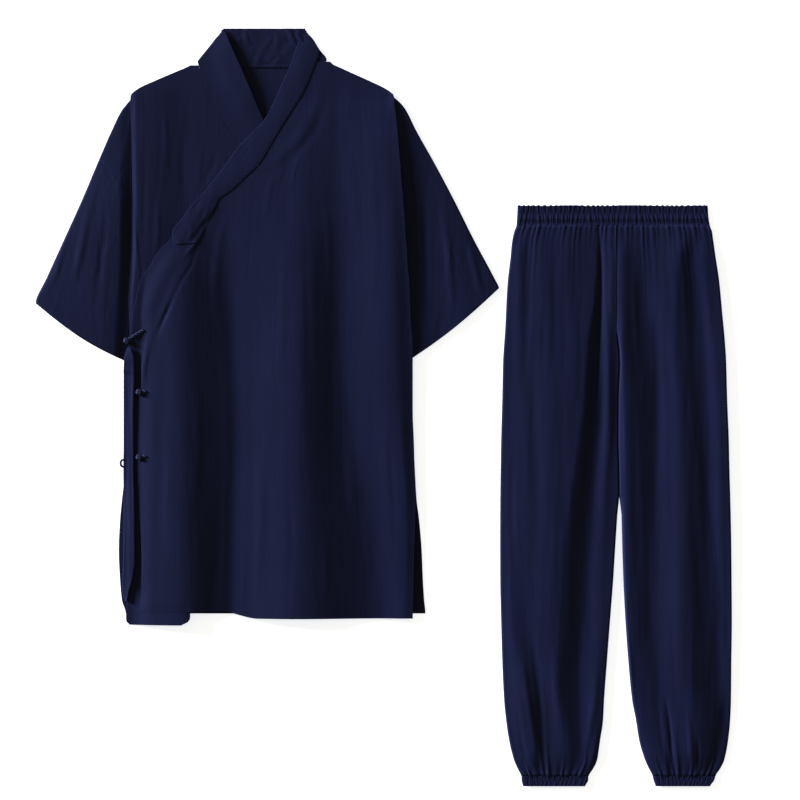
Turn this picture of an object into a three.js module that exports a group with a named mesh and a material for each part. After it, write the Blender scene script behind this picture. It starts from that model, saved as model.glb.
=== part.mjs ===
// A tai chi uniform, top and trousers, laid out flat on its back beside each other.
// X runs to the right of the laid garment, Y towards the neck, Z up from the surface it lies on.
// Right and left in the names are the wearer's: the wearer's right side lies at low X.
import * as THREE from "three";

// Driving dimensions in millimetres
const CLOTH = 1.2; // wall of one layer of cloth
const SEAM = 0.3; // gap between pieces sewn edge to edge
const LAP = 0.6; // clearance where a curved layer lies on another
const FLOOR_LAYER = 0; // underside of the pieces that lie on the surface
const TUCK = 4; // how far the body laps over the sleeve along the armhole
const TUBE_FOLD = 2 * CLOTH + 0.8; // outer height of a flattened tube at its two folds
const FOLD_ROUND = 2.4; // how far a flattened tube's corner is rounded in from its fold
const KNOT_RADIUS = 5.2;
const KNOT_AROUND = 12; // faces round a knot button
const KNOT_RINGS = 8;
const KNOT_CORD = 1.5; // radius of the cord that ties the knot buttons
const CORD_SIDES = 8;
const CORD_LIFT = 1.6; // clearance of that cord over the sloping cloth it lies on

// Columns of points across each kind of piece
const FLAT_COLUMNS = 4;
const NECKBAND_COLUMNS = 5;
const UNDER_FRONT_COLUMNS = 10;
const UNDER_FRONT_CROWDING = 1.6; // above 1, the columns crowd towards the free edge's ridge
const OVER_FRONT_COLUMNS = 18;
const SLEEVE_UPPER_COLUMNS = 14;
const SLEEVE_LOWER_COLUMNS = 3;
const BAND_LOWER_COLUMNS = 6;
const LEG_COLUMNS = 13; // across a leg's front where it has only long folds

// Where the front of the body ends over the sleeves and down the sides
const BODY_SIDE = [
  { y: 499, right: -405, left: 16 },
  { y: 411, right: -404, left: 22 },
  { y: 331, right: -403, left: 29 },
  { y: 251, right: -403, left: 35 },
  { y: 171, right: -407, left: 41 },
  { y: 78, right: -412, left: 46 },
];

// Back panel: neck edge, shoulders, then the side from the armhole's foot to the hem
const BACK_SHOULDER = [
  { y: 545, left: -290, right: -99 },
  { y: 531, left: -330, right: -56 },
  { y: 523, left: -358, right: -30 },
  { y: 507, left: -392, right: 2 },
];
const BACK_SIDE = [
  { y: 72, left: -407.4, right: 41.4 },
  { y: 64, left: -414, right: 45 },
  { y: -21, left: -416, right: 46 },
  { y: -117, left: -416, right: 50 },
  { y: -149, left: -419, right: 52 },
  { y: -181, left: -422, right: 56 },
  { y: -229, left: -424, right: 60 },
  { y: -277, left: -422, right: 62 },
  { y: -309, left: -419, right: 64 },
  { y: -330, left: -413, right: 66 },
];

// Over-arm fold of each sleeve, from the shoulder point to the cuff
const OVER_ARM_RIGHT = [
  { y: 497, x: -401 },
  { y: 475, x: -419 },
  { y: 443, x: -435 },
  { y: 395, x: -456 },
  { y: 331, x: -483 },
  { y: 267, x: -512 },
  { y: 203, x: -541 },
  { y: 166, x: -557 },
];
const OVER_ARM_LEFT = [
  { y: 497, x: 12 },
  { y: 475, x: 34 },
  { y: 443, x: 51 },
  { y: 395, x: 78 },
  { y: 331, x: 112 },
  { y: 267, x: 144 },
  { y: 203, x: 178 },
  { y: 190, x: 184 },
];
const ARMHOLE_FOOT = 280; // y where the armhole seam meets the under-arm seam
const CUFF_FOOT_RIGHT = 74;
const CUFF_FOOT_LEFT = 79;
const SLEEVE_SECTIONS = 9;
const SLEEVE_CROWN = 2.8; // how far the middle of a sleeve stands over its folds
const SLEEVE_FULLNESS = 0.8; // below 1, the crown is broad across the sleeve
const SLEEVE_RISEN = 0.4; // share of the sleeve's length at which the crown has its full height
const SLEEVE_DIP = 1.6; // depth of the hollow along the wearer's left sleeve
const DIP_PLACE = 0.74; // share of the sleeve's width at which that hollow lies
const DIP_SPREAD = 0.13;

// Under front, on the wearer's right: shoulder, neckband seam, side and free edge
const FRONT_UNDER = [
  { y: 546, left: -310, right: -296.6 },
  { y: 539, left: -325, right: -294.6 },
  { y: 523, left: -362, right: -289.4 },
  { y: 507, left: -395, right: -282.9 },
  { y: 497, left: -405, right: -278.8 },
  { y: 478, left: -405, right: -268.6 },
  { y: 462, left: -404, right: -259.7 },
  { y: 437, left: -403, right: -243.7 },
  { y: 418, left: -402.6, right: -230.7 },
  { y: 400, left: -402.4, right: -226 },
  { y: 379, left: -402, right: -235 },
  { y: 355, left: -402, right: -253 },
  { y: 331, left: -402, right: -272 },
  { y: 291, left: -402.5, right: -288 },
  { y: 251, left: -403, right: -298 },
  { y: 211, left: -406, right: -301 },
  { y: 171, left: -408, right: -303 },
  { y: 123, left: -406, right: -305 },
  { y: 99, left: -408, right: -306 },
  { y: 72, left: -414, right: -306 },
  { y: 11, left: -413, right: -307 },
  { y: -101, left: -413, right: -307 },
  { y: -213, left: -412, right: -308 },
  { y: -309, left: -411, right: -309 },
  { y: -336, left: -411, right: -309 },
  { y: -344, left: -408, right: -314 },
  { y: -348, left: -400, right: -323 },
];

// Over front, on the wearer's left: it crosses the chest and ends in a flap at the wearer's right side
const FRONT_OVER = [
  { y: 552, left: -146, right: -86 },
  { y: 539, left: -149, right: -62 },
  { y: 523, left: -157, right: -27 },
  { y: 507, left: -164, right: 5 },
  { y: 497, left: -168, right: 16 },
  { y: 483, left: -174, right: 17 },
  { y: 458, left: -188, right: 20 },
  { y: 435, left: -210, right: 22 },
  { y: 411, left: -232, right: 24 },
  { y: 390, left: -247, right: 26 },
  { y: 363, left: -267, right: 28 },
  { y: 342, left: -283, right: 30 },
  { y: 326, left: -299, right: 31 },
  { y: 302, left: -317, right: 33 },
  { y: 286, left: -331, right: 34 },
  { y: 267, left: -342, right: 35 },
  { y: 251, left: -358, right: 37 },
  { y: 227, left: -373, right: 38 },
  { y: 205, left: -387, right: 40 },
  { y: 168, left: -397, right: 42 },
  { y: 139, left: -402, right: 43 },
  { y: 115, left: -403, right: 45 },
  { y: 99, left: -398, right: 46 },
  { y: 78, left: -390, right: 46 },
  { y: 27, left: -389, right: 46 },
  { y: -21, left: -389, right: 46 },
  { y: -69, left: -389, right: 48 },
  { y: -117, left: -389, right: 50 },
  { y: -157, left: -389, right: 51 },
  { y: -205, left: -389, right: 50 },
  { y: -253, left: -389, right: 48 },
  { y: -296, left: -389, right: 47 },
  { y: -327, left: -389, right: 46 },
];
const HEM_DROP = { from: -262, to: -200, depth: 11 }; // the hem hangs lower past the hollow beside the flap

// Height of the over front's underside: flap edge, ridge, hollow, ridge, hollow, ridge, side edge
const FRONT_FOLDS = [
  { y: 600, x: [-403, -307, -251, -131, -75, 5, 16], z: [0.4, 0.4, 0.4, 0.4, 0.4, 0.4, 0.4] },
  { y: 545, x: [-403, -307, -251, -131, -75, 5, 16], z: [1.7, 1.7, 1.7, 1.7, 1.7, 1.7, 1.7] },
  { y: 497, x: [-403, -307, -251, -131, -75, 5, 16], z: [3, 3, 3, 2.6, 2.6, 3.2, 3.8] },
  { y: 470, x: [-403, -307, -251, -131, -75, 6, 18], z: [5, 5, 5, 4, 3.6, 4.6, 3.9] },
  { y: 411, x: [-403, -307, -251, -131, -75, 10, 23], z: [5, 5, 5, 4.8, 3.8, 5.2, 3.9] },
  { y: 331, x: [-403, -307, -251, -131, -72, 14, 30], z: [5, 5.6, 4.6, 6.4, 4.4, 6.6, 3.9] },
  { y: 280, x: [-403, -322, -250, -130, -67, 16, 34], z: [5, 7.6, 3.8, 7.6, 4, 7, 3.9] },
  { y: 187, x: [-403, -330, -243, -131, -66, 19, 41], z: [4.4, 10, 2.6, 9.6, 3.2, 7.6, 3.9] },
  { y: 91, x: [-400, -330, -235, -136, -64, 21, 46], z: [4, 11, 2.2, 10.6, 2.8, 7.4, 3.7] },
  { y: -53, x: [-389, -334, -237, -133, -50, 27, 48], z: [3.5, 12, 2, 11.6, 2.4, 6.6, 1.9] },
  { y: -149, x: [-389, -333, -238, -126, -29, 33, 51], z: [3.5, 12.4, 2, 12.4, 2.2, 5, 1.9] },
  { y: -245, x: [-389, -326, -243, -126, -14, 34, 49], z: [3.5, 13, 2, 13, 2, 4, 1.9] },
  { y: -340, x: [-389, -326, -246, -126, -6, 34, 46], z: [3.5, 13.4, 2, 13.4, 2, 3.4, 1.9] },
];

// Height of the under front's underside: over the sleeve, ridge at the side, flat chest
const UNDER_FOLDS = [
  { y: 546, x: [-405, -396, -372, -340], z: [1.6, 1.6, 1.6, 1.6] },
  { y: 497, x: [-405, -396, -372, -340], z: [3.9, 4.2, 2.8, 2] },
  { y: 331, x: [-402, -394, -374, -340], z: [3.9, 6, 3, 1.7] },
  { y: 240, x: [-404, -396, -378, -350], z: [3.9, 6.4, 2.6, 1.6] },
  { y: 171, x: [-408, -401, -390, -360], z: [3.9, 4.6, 2.4, 1.6] },
  { y: 78, x: [-412, -404, -392, -360], z: [3.9, 3.6, 2, 1.6] },
  { y: 50, x: [-413, -404, -392, -360], z: [1.7, 1.7, 1.6, 1.6] },
];

// Soft rolls in the over front: beside the neckband, and from the fastened knot towards the chest
const FRONT_ROLLS = [
  { path: [[-100, 530], [-108, 480], [-131, 440], [-160, 411], [-190, 380]], halfWidth: 18, height: 3.2 },
  { path: [[-388, 128], [-372, 165], [-352, 215], [-318, 262]], halfWidth: 16, height: 2.6 },
];

// Neckbands: inner edge and sewn edge, from the shoulder fold to the lower end
const NECKBAND_UNDER = [
  { innerX: -256, innerY: 604, outerX: -298, outerY: 553, innerZ: 2.2, outerZ: 1.7 },
  { innerX: -245, innerY: 579, outerX: -290, outerY: 526, innerZ: 5, outerZ: 1.8 },
  { innerX: -230, innerY: 546, outerX: -277, outerY: 494, innerZ: 6.4, outerZ: 2 },
  { innerX: -214, innerY: 509, outerX: -259, outerY: 462, innerZ: 6.4, outerZ: 1.8 },
  { innerX: -202, innerY: 480, outerX: -243, outerY: 437, innerZ: 4.4, outerZ: 1.7 },
  { innerX: -192, innerY: 458, outerX: -230, outerY: 418, innerZ: 3, outerZ: 1.6 },
  { innerX: -184, innerY: 440, outerX: -221, outerY: 405, innerZ: 2, outerZ: 1.6 },
];
const NECKBAND_OVER = [
  { innerX: -128, innerY: 604, outerX: -102, outerY: 570, innerZ: 2, outerZ: 1.7 },
  { innerX: -139, innerY: 579, outerX: -107, outerY: 555, innerZ: 4.4, outerZ: 2.6 },
  { innerX: -150, innerY: 546, outerX: -115, outerY: 534, innerZ: 6.4, outerZ: 3.6 },
  { innerX: -165, innerY: 512, outerX: -128, outerY: 504, innerZ: 7, outerZ: 4.4 },
  { innerX: -178, innerY: 483, outerX: -146, outerY: 475, innerZ: 7.2, outerZ: 5.4 },
  { innerX: -192, innerY: 458, outerX: -166, outerY: 443, innerZ: 7.4, outerZ: 6.6 },
  { innerX: -214, innerY: 435, outerX: -182, outerY: 416, innerZ: 7, outerZ: 6.8 },
  { innerX: -230, innerY: 419, outerX: -198, outerY: 390, innerZ: 7, outerZ: 6.8 },
  { innerX: -251, innerY: 390, outerX: -222, outerY: 366, innerZ: 7, outerZ: 6.8 },
  { innerX: -272, innerY: 363, outerX: -243, outerY: 346, innerZ: 7, outerZ: 6.8 },
  { innerX: -288, innerY: 342, outerX: -264, outerY: 330, innerZ: 7, outerZ: 6.8 },
  { innerX: -304, innerY: 326, outerX: -272, outerY: 312, innerZ: 7, outerZ: 6.8 },
  { innerX: -322, innerY: 302, outerX: -283, outerY: 290, innerZ: 7, outerZ: 6.8 },
  { innerX: -338, innerY: 277, outerX: -294, outerY: 268, innerZ: 7, outerZ: 6.8 },
  { innerX: -334, innerY: 260, outerX: -297, outerY: 262, innerZ: 7, outerZ: 6.8 },
];

// Neckband behind the neck, its inside showing
const NECKBAND_BACK = [
  { y: 605, left: -257, right: -126 },
  { y: 587, left: -271, right: -113 },
  { y: 571, left: -282, right: -103 },
  { y: 555, left: -293, right: -92 },
  { y: 545.4, left: -290, right: -99 },
];

// Turned strip along the open side, from the under-arm to just over the hem
const SIDE_STRIP = [
  { y: 94, left: -410.5, right: -403 },
  { y: 82, left: -413.6, right: -398.4 },
  { y: 66, left: -415, right: -397.6 },
  { y: 11, left: -415, right: -397.6 },
  { y: -101, left: -415, right: -397.6 },
  { y: -181, left: -413.6, right: -397.6 },
  { y: -245, left: -412, right: -397.6 },
  { y: -285, left: -409.6, right: -399 },
  { y: -302, left: -407, right: -400.6 },
  { y: -310, left: -405, right: -402.2 },
];
const UNDER_FRONT_REACH = -330; // the over front keeps clear of the under front's relief left of here
const STRIP_CROWN = 2.2; // how far the turned strip puffs up along its middle
const STRIP_ON_SLEEVE = 54; // above this height the strip also keeps clear of the cuff's corner
const NECKBAND_CROWN = 0.8; // how far a neckband puffs up along its middle

// Knot buttons at the wearer's right side, from under the arm down, and where each one's cord is sewn
const KNOTS = [
  { name: "knot_1", x: -411, y: 106, cordX: -384, cordY: 123, cordSteps: 20 },
  { name: "knot_2", x: -391, y: 24, cordX: -376, cordY: 26, cordSteps: 12 },
  { name: "knot_3", x: -391, y: -80, cordX: -376, cordY: -78, cordSteps: 12 },
];
const KNOT_LOOP = [[-417, -85], [-419.6, -86], [-420.6, -90], [-419.6, -94], [-417, -95]];
const LOOP_STEPS = 12;

// Doubled cord of a knot: share of the way from the knot to the sewn end, and side of the cord's middle
const HAIRPIN = [[1, 1], [0.68, 1], [0.3, 1], [0, 0], [0.3, -1], [0.68, -1], [1, -1]];
const CORD_SETTLED = 0.75; // share of that way at which the cord has come down onto the cloth
const SEAT_RINGS = 4; // places under a knot at which its clearance is measured
const SEAT_TURNS = 12;

// Waistband, from its frilled top edge over two rows of stitching, with how far its gathers puff up
const WAIST_BAND = [
  { y: 322, left: 213.5, right: 518, puff: 1 },
  { y: 310, left: 213, right: 518.4, puff: 0.5 },
  { y: 302, left: 212.6, right: 519.2, puff: 0.95 },
  { y: 294, left: 212.2, right: 520.4, puff: 0.55 },
  { y: 291, left: 212, right: 521, puff: 0.7 },
];

// Trousers: outline of the two legs from the waistband's lower edge to the ankle bands
const WAIST_FOOT = 291;
const LEG_RIGHT = [
  { y: 290.6, left: 212, right: 372.4 },
  { y: 280, left: 208, right: 372.4 },
  { y: 262, left: 204.4, right: 372.4 },
  { y: 235, left: 202, right: 372.4 },
  { y: 203, left: 198, right: 372.4 },
  { y: 171, left: 196, right: 372.4 },
  { y: 139, left: 194.5, right: 372.4 },
  { y: 120, left: 193.5, right: 371.4 },
  { y: 75, left: 190.4, right: 372.6 },
  { y: 11, left: 189, right: 371.6 },
  { y: -53, left: 187.2, right: 370.4 },
  { y: -101, left: 186.4, right: 372.4 },
  { y: -149, left: 185.8, right: 372.4 },
  { y: -213, left: 185.6, right: 369.8 },
  { y: -277, left: 185.8, right: 366.6 },
  { y: -341, left: 187.2, right: 361.6 },
  { y: -405, left: 189, right: 356.8 },
  { y: -469, left: 192, right: 352 },
  { y: -501, left: 195.2, right: 350.4 },
  { y: -533, left: 200, right: 345.6 },
  { y: -565, left: 208, right: 340.8 },
  { y: -581, left: 215, right: 333 },
  { y: -589.6, left: 219.6, right: 327 },
];
const LEG_LEFT = [
  { y: 290.6, left: 372.8, right: 521 },
  { y: 280, left: 372.8, right: 524.8 },
  { y: 262, left: 372.8, right: 527 },
  { y: 235, left: 372.8, right: 531.2 },
  { y: 203, left: 372.8, right: 536 },
  { y: 171, left: 372.8, right: 539.2 },
  { y: 139, left: 372.8, right: 542 },
  { y: 120, left: 371.8, right: 544 },
  { y: 75, left: 373, right: 547.2 },
  { y: 11, left: 372, right: 549 },
  { y: -53, left: 370.8, right: 551.6 },
  { y: -101, left: 373.2, right: 552.6 },
  { y: -149, left: 378, right: 554 },
  { y: -213, left: 380.8, right: 555.4 },
  { y: -277, left: 382.8, right: 556 },
  { y: -341, left: 386, right: 556.4 },
  { y: -405, left: 390.6, right: 555.6 },
  { y: -469, left: 396.8, right: 555 },
  { y: -501, left: 403, right: 553.6 },
  { y: -533, left: 408, right: 550.4 },
  { y: -565, left: 417.6, right: 544 },
  { y: -581, left: 425, right: 536 },
  { y: -589.6, left: 429.6, right: 530 },
];
const ANKLE_TOP = -590;
const ANKLE_BAND_RIGHT = [
  { y: -590, left: 219.8, right: 326.8, puff: 0.7 },
  { y: -597, left: 220, right: 326.6, puff: 0.6 },
  { y: -606, left: 222, right: 322, puff: 0.8 },
];
const ANKLE_BAND_LEFT = [
  { y: -590, left: 429.8, right: 529.8, puff: 0.7 },
  { y: -597, left: 431, right: 528, puff: 0.6 },
  { y: -606, left: 434, right: 522, puff: 0.8 },
];
const DENSE_TO = 250; // the gathers have all their points above this height
const SPARSE_TO = 190;
const ANKLE_DENSE_FROM = -560;

// Height of the trouser fronts' underside: outer edge, ridges and hollows in turn, inner edge
const LEG_RIGHT_FOLDS = [
  { y: 291, x: [212, 224, 232, 252, 274, 300, 348, 360, 372], z: [2.2, 2.6, 2.6, 3, 2.8, 3, 2.4, 2.8, 2.8] },
  { y: 235, x: [202, 216, 230, 253, 274, 298, 348, 360, 372], z: [1.8, 4, 3.2, 5.6, 3.8, 6, 1.9, 4.4, 4.6] },
  { y: 171, x: [196, 217, 229, 254, 275, 300, 351, 362, 372], z: [1.8, 4.6, 4.2, 6.6, 5.2, 8, 1.9, 4.6, 4.8] },
  { y: 107, x: [193, 214, 228, 250, 270, 302, 349, 362, 372], z: [1.8, 4.4, 5, 6.8, 7, 9.4, 1.9, 4.2, 2.4] },
  { y: 11, x: [189, 210, 226, 248, 270, 302, 347, 361, 372], z: [1.8, 4, 5, 6.8, 8.4, 9.6, 1.9, 4, 2.2] },
  { y: -117, x: [186, 203, 222, 242, 262, 286, 341, 356, 372], z: [1.8, 4.6, 5.6, 7, 8.8, 9.6, 2, 4, 1.9] },
  { y: -245, x: [186, 203, 214, 238, 256, 277, 331, 355, 368], z: [1.8, 4.8, 5, 6.2, 8, 9.2, 2, 4, 1.9] },
  { y: -341, x: [187, 206, 224, 236, 254, 274, 327, 352, 362], z: [1.8, 5.2, 5, 5.6, 7.4, 9, 2, 3.8, 1.9] },
  { y: -437, x: [190, 220, 244, 250, 258, 272, 322, 345, 354], z: [1.8, 6.6, 4.8, 4.8, 5.6, 7.4, 2, 3.8, 1.9] },
  { y: -501, x: [195, 226, 252, 258, 264, 281, 320, 340, 350], z: [1.8, 6.4, 3, 3, 3.6, 5.8, 2, 3.4, 1.9] },
  { y: -550, x: [204, 232, 252, 258, 266, 288, 320, 335, 343], z: [1.8, 4.8, 2.6, 2.6, 3.2, 4.4, 2.4, 3, 1.9] },
  { y: -590, x: [219, 232, 246, 258, 268, 288, 306, 318, 328], z: [2.2, 3, 2.6, 2.8, 3, 3, 2.6, 2.8, 2.2] },
];
const LEG_LEFT_FOLDS = [
  { y: 291, x: [372, 384, 400, 420, 460, 480, 500, 512, 521], z: [2.8, 2.8, 2.6, 2.6, 3, 2.8, 2.6, 2.6, 2.2] },
  { y: 235, x: [372, 380, 398, 418, 446, 470, 494, 512, 531], z: [4.6, 5.4, 3.8, 3, 4.4, 6.2, 3.2, 4.6, 1.8] },
  { y: 171, x: [372, 381, 398, 419, 442, 466, 499, 520, 539], z: [4.8, 6, 4, 2.2, 4.8, 6.6, 3, 5.2, 1.8] },
  { y: 107, x: [372, 384, 404, 432, 448, 466, 504, 528, 545], z: [2.4, 6.4, 4.2, 2, 3.6, 5.6, 2.6, 5.6, 1.8] },
  { y: 11, x: [372, 388, 412, 437, 454, 472, 514, 536, 549], z: [2.2, 6.8, 4.2, 2.2, 4.2, 6.6, 3, 5.8, 1.8] },
  { y: -117, x: [374, 388, 412, 434, 454, 476, 520, 540, 553], z: [1.9, 6.6, 4.6, 2.6, 5, 7.6, 3.6, 5.8, 1.8] },
  { y: -245, x: [382, 392, 412, 431, 454, 477, 523, 542, 556], z: [1.9, 6.2, 4.8, 3.2, 5.8, 8.4, 4, 5.6, 1.8] },
  { y: -341, x: [386, 396, 412, 431, 454, 478, 530, 546, 556], z: [1.9, 5.8, 5, 3.8, 6, 8.4, 3.8, 5, 1.8] },
  { y: -437, x: [394, 405, 420, 438, 458, 482, 538, 548, 555], z: [1.9, 5.2, 4.8, 4.2, 6, 8.2, 3.4, 4, 1.8] },
  { y: -501, x: [403, 414, 430, 446, 468, 494, 542, 548, 554], z: [1.9, 4.6, 5.2, 5, 6.6, 7.6, 2.8, 3, 1.8] },
  { y: -550, x: [413, 424, 440, 452, 470, 492, 530, 540, 547], z: [1.9, 3.8, 4.6, 4, 5.4, 5.8, 2.4, 2.6, 1.8] },
  { y: -590, x: [429, 440, 452, 462, 476, 492, 508, 520, 530], z: [2.2, 2.8, 3, 2.6, 3, 3, 2.6, 2.8, 2.2] },
];

// Gathers drawn in by the elastic: count across the front, height, and how far down they run. Each one
// differs from the next by a step of the angles in GATHER_PACE.
const WAIST_GATHERS = { count: 36, height: 2.3, shortest: 22, longest: 95, uneven: 0.28 };
const ANKLE_GATHERS = { count: 11, height: 2.2, shortest: 14, longest: 52, uneven: 0.3 };
const GATHER_PACE = { spacing: 2.4, height: 1.9, reach: 2.7 };
const LOWEST_GATHER = 0.44; // height of the lowest gather as a share of the highest
const SEAM_MARGIN = 0.12; // no point of a gather comes nearer a panel's edge than this share of a gather
const BAND_FLOOR = CLOTH + 0.9; // lowest the upper wall of an elasticated band comes

const COTTON = { color: 0x171a31, roughness: 0.86, metalness: 0 };
const CORD_COTTON = { color: 0x1c2040, roughness: 0.7, metalness: 0 };

/** Value of a column at y, straight between the rows of a table that runs downwards. */
function columnAt(table, column, y) {
  const last = table.length - 1;
  if (y >= table[0].y) {
    return table[0][column];
  }
  if (y <= table[last].y) {
    return table[last][column];
  }
  const i = table.findIndex((row) => row.y <= y);
  return THREE.MathUtils.mapLinear(y, table[i - 1].y, table[i].y, table[i - 1][column], table[i][column]);
}

/** The stations of a fold table at y, each moved straight from one row to the next. */
function stationsAt(folds, y) {
  const last = folds.length - 1;
  const clamped = THREE.MathUtils.clamp(y, folds[last].y, folds[0].y);
  const found = folds.findIndex((row) => row.y <= clamped);
  const i = Math.max(found, 1);
  const t = (folds[i - 1].y - clamped) / (folds[i - 1].y - folds[i].y);
  const between = (key) => folds[i][key].map((value, k) => THREE.MathUtils.lerp(folds[i - 1][key][k], value, t));
  return { x: between("x"), z: between("z") };
}

/** Height given by a fold table at a point: a smooth run through the ridges and hollows of its row. */
function foldHeight(folds, x, y) {
  const row = stationsAt(folds, y);
  const last = row.x.length - 1;
  if (x <= row.x[0]) {
    return row.z[0];
  }
  if (x >= row.x[last]) {
    return row.z[last];
  }
  const i = row.x.findIndex((place) => place >= x);
  const t = THREE.MathUtils.smoothstep(x, row.x[i - 1], row.x[i]);
  return THREE.MathUtils.lerp(row.z[i - 1], row.z[i], t);
}

/** Height added by soft rolls of cloth that run along bent paths and fade out at both ends. */
function rollHeight(rolls, x, y) {
  let height = 0;
  for (const roll of rolls) {
    const legs = roll.path.length - 1;
    let nearest = Infinity;
    let along = 0;
    for (let i = 0; i < legs; i += 1) {
      const [ax, ay] = roll.path[i];
      const [bx, by] = roll.path[i + 1];
      const run = ((x - ax) * (bx - ax) + (y - ay) * (by - ay)) / ((bx - ax) ** 2 + (by - ay) ** 2);
      const t = THREE.MathUtils.clamp(run, 0, 1);
      const distance = Math.hypot(x - ax - t * (bx - ax), y - ay - t * (by - ay));
      if (distance < nearest) {
        nearest = distance;
        along = (i + t) / legs;
      }
    }
    if (nearest < roll.halfWidth) {
      const profile = Math.cos((Math.PI * nearest) / (2 * roll.halfWidth)) ** 2;
      height += roll.height * profile * Math.sin(Math.PI * along);
    }
  }
  return height;
}

/** Rise from a layer's underside to its upper side, so that the wall keeps its thickness on a slope. */
function wallRise(underside, x, y) {
  const step = 1;
  const slopeX = (underside(x + step, y) - underside(x - step, y)) / (2 * step);
  const slopeY = (underside(x, y + step) - underside(x, y - step)) / (2 * step);
  return CLOTH * Math.sqrt(1 + slopeX ** 2 + slopeY ** 2);
}

/** Even fractions from 0 to 1. */
function evenly(count) {
  return Array.from({ length: count + 1 }, (_, i) => i / count);
}

/** Fractions from 0 to 1 that lie closer together near 0. */
function closerAtStart(count, power) {
  return evenly(count).map((t) => t ** power);
}

/** Triangles between two lines of points given at rising fractions, as triples of point numbers. */
function zipLines(upper, lower, upperStart, lowerStart) {
  const triangles = [];
  let i = 0;
  let j = 0;
  while (i < upper.length - 1 || j < lower.length - 1) {
    const nextUpper = i < upper.length - 1 ? upper[i + 1] : Infinity;
    const nextLower = j < lower.length - 1 ? lower[j + 1] : Infinity;
    if (nextUpper < nextLower) {
      triangles.push([upperStart + i, lowerStart + j, upperStart + i + 1]);
      i += 1;
    } else {
      triangles.push([upperStart + i, lowerStart + j, lowerStart + j + 1]);
      j += 1;
    }
  }
  return triangles;
}

/** A closed geometry from its points and triangles, turned so that its faces point out. */
function closedGeometry(points, triangles) {
  const volume = triangles.reduce((sum, [a, b, c]) => {
    const cross = new THREE.Vector3().crossVectors(points[b], points[c]);
    return sum + points[a].dot(cross);
  }, 0);
  const outward = volume > 0 ? triangles : triangles.map(([a, b, c]) => [a, c, b]);
  const geometry = new THREE.BufferGeometry().setFromPoints(points);
  geometry.setIndex(outward.flat());
  geometry.computeVertexNormals();
  return geometry;
}

/**
 * A panel of cloth. Each row runs from one point to another at rising fractions, and the rows follow
 * each other down the panel. The underside is a height over the surface, and the wall stands on it.
 */
function clothPanel(rows, underside) {
  const lower = [];
  const upper = [];
  const starts = [];
  for (const row of rows) {
    starts.push(lower.length);
    for (const t of row.fractions) {
      const x = THREE.MathUtils.lerp(row.from[0], row.to[0], t);
      const y = THREE.MathUtils.lerp(row.from[1], row.to[1], t) + (row.lift ? row.lift(x) : 0);
      const z = underside(x, y, t, row);
      const rise = wallRise((px, py) => underside(px, py, t, row), x, y);
      lower.push(new THREE.Vector3(x, y, z));
      upper.push(new THREE.Vector3(x, y, z + rise));
    }
  }
  const count = lower.length;
  const faces = [];
  for (let r = 0; r < rows.length - 1; r += 1) {
    faces.push(...zipLines(rows[r].fractions, rows[r + 1].fractions, starts[r], starts[r + 1]));
  }
  const rim = [];
  for (let k = 0; k < rows[0].fractions.length; k += 1) {
    rim.push(starts[0] + rows[0].fractions.length - 1 - k);
  }
  for (let r = 1; r < rows.length; r += 1) {
    rim.push(starts[r]);
  }
  const lastRow = rows.length - 1;
  for (let k = 1; k < rows[lastRow].fractions.length; k += 1) {
    rim.push(starts[lastRow] + k);
  }
  for (let r = lastRow - 1; r > 0; r -= 1) {
    rim.push(starts[r] + rows[r].fractions.length - 1);
  }
  const triangles = [];
  for (const [a, b, c] of faces) {
    triangles.push([a + count, b + count, c + count], [a, c, b]);
  }
  rim.forEach((a, k) => {
    const b = rim[(k + 1) % rim.length];
    triangles.push([a, b, b + count], [a, b + count, a + count]);
  });
  return closedGeometry([...lower, ...upper], triangles);
}

/** Level rows for a panel, one for each row of an outline table. */
function levelRows(outline, fractionsFor) {
  return outline.map((row) => ({
    from: [row.left, row.y],
    to: [row.right, row.y],
    fractions: fractionsFor(row),
  }));
}

/**
 * A flattened tube of cloth, open at both ends. Each section runs from one fold to the other: its lower
 * wall lies on the surface and its upper wall has the height that the section gives at each fraction.
 */
function flatTube(sections, upperFractions, lowerFractions) {
  const points = [];
  const ringSize = upperFractions.length + lowerFractions.length + 2;
  for (const section of sections) {
    const [ax, ay] = section.from;
    const [bx, by] = section.to;
    const width = Math.hypot(bx - ax, by - ay);
    const place = (t, z) => points.push(new THREE.Vector3(ax + (bx - ax) * t, ay + (by - ay) * t, z));
    for (const skin of [0, CLOTH]) {
      const tip = skin / width;
      const corner = (skin + FOLD_ROUND) / width;
      const inset = (t) => THREE.MathUtils.lerp(corner, 1 - corner, t);
      place(tip, TUBE_FOLD / 2);
      lowerFractions.forEach((t) => place(inset(t), FLOOR_LAYER + skin));
      place(1 - tip, TUBE_FOLD / 2);
      upperFractions.toReversed().forEach((t) => place(inset(t), section.top(t) - skin));
    }
  }
  const triangles = [];
  const quad = (a, b, c, d) => triangles.push([a, b, c], [a, c, d]);
  const last = sections.length - 1;
  for (let k = 0; k < ringSize; k += 1) {
    const n = (k + 1) % ringSize;
    for (let s = 0; s < last; s += 1) {
      const near = s * 2 * ringSize;
      const far = near + 2 * ringSize;
      quad(near + k, near + n, far + n, far + k);
      quad(near + ringSize + n, near + ringSize + k, far + ringSize + k, far + ringSize + n);
    }
    const end = last * 2 * ringSize;
    quad(n, k, ringSize + k, ringSize + n);
    quad(end + k, end + n, end + ringSize + n, end + ringSize + k);
  }
  return closedGeometry(points, triangles);
}

const group = new THREE.Group();

/** Adds a piece to the uniform under its own name and with its own material. */
function addPiece(name, geometry, finish) {
  const mesh = new THREE.Mesh(geometry, new THREE.MeshStandardMaterial(finish));
  mesh.name = name;
  group.add(mesh);
}

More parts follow.
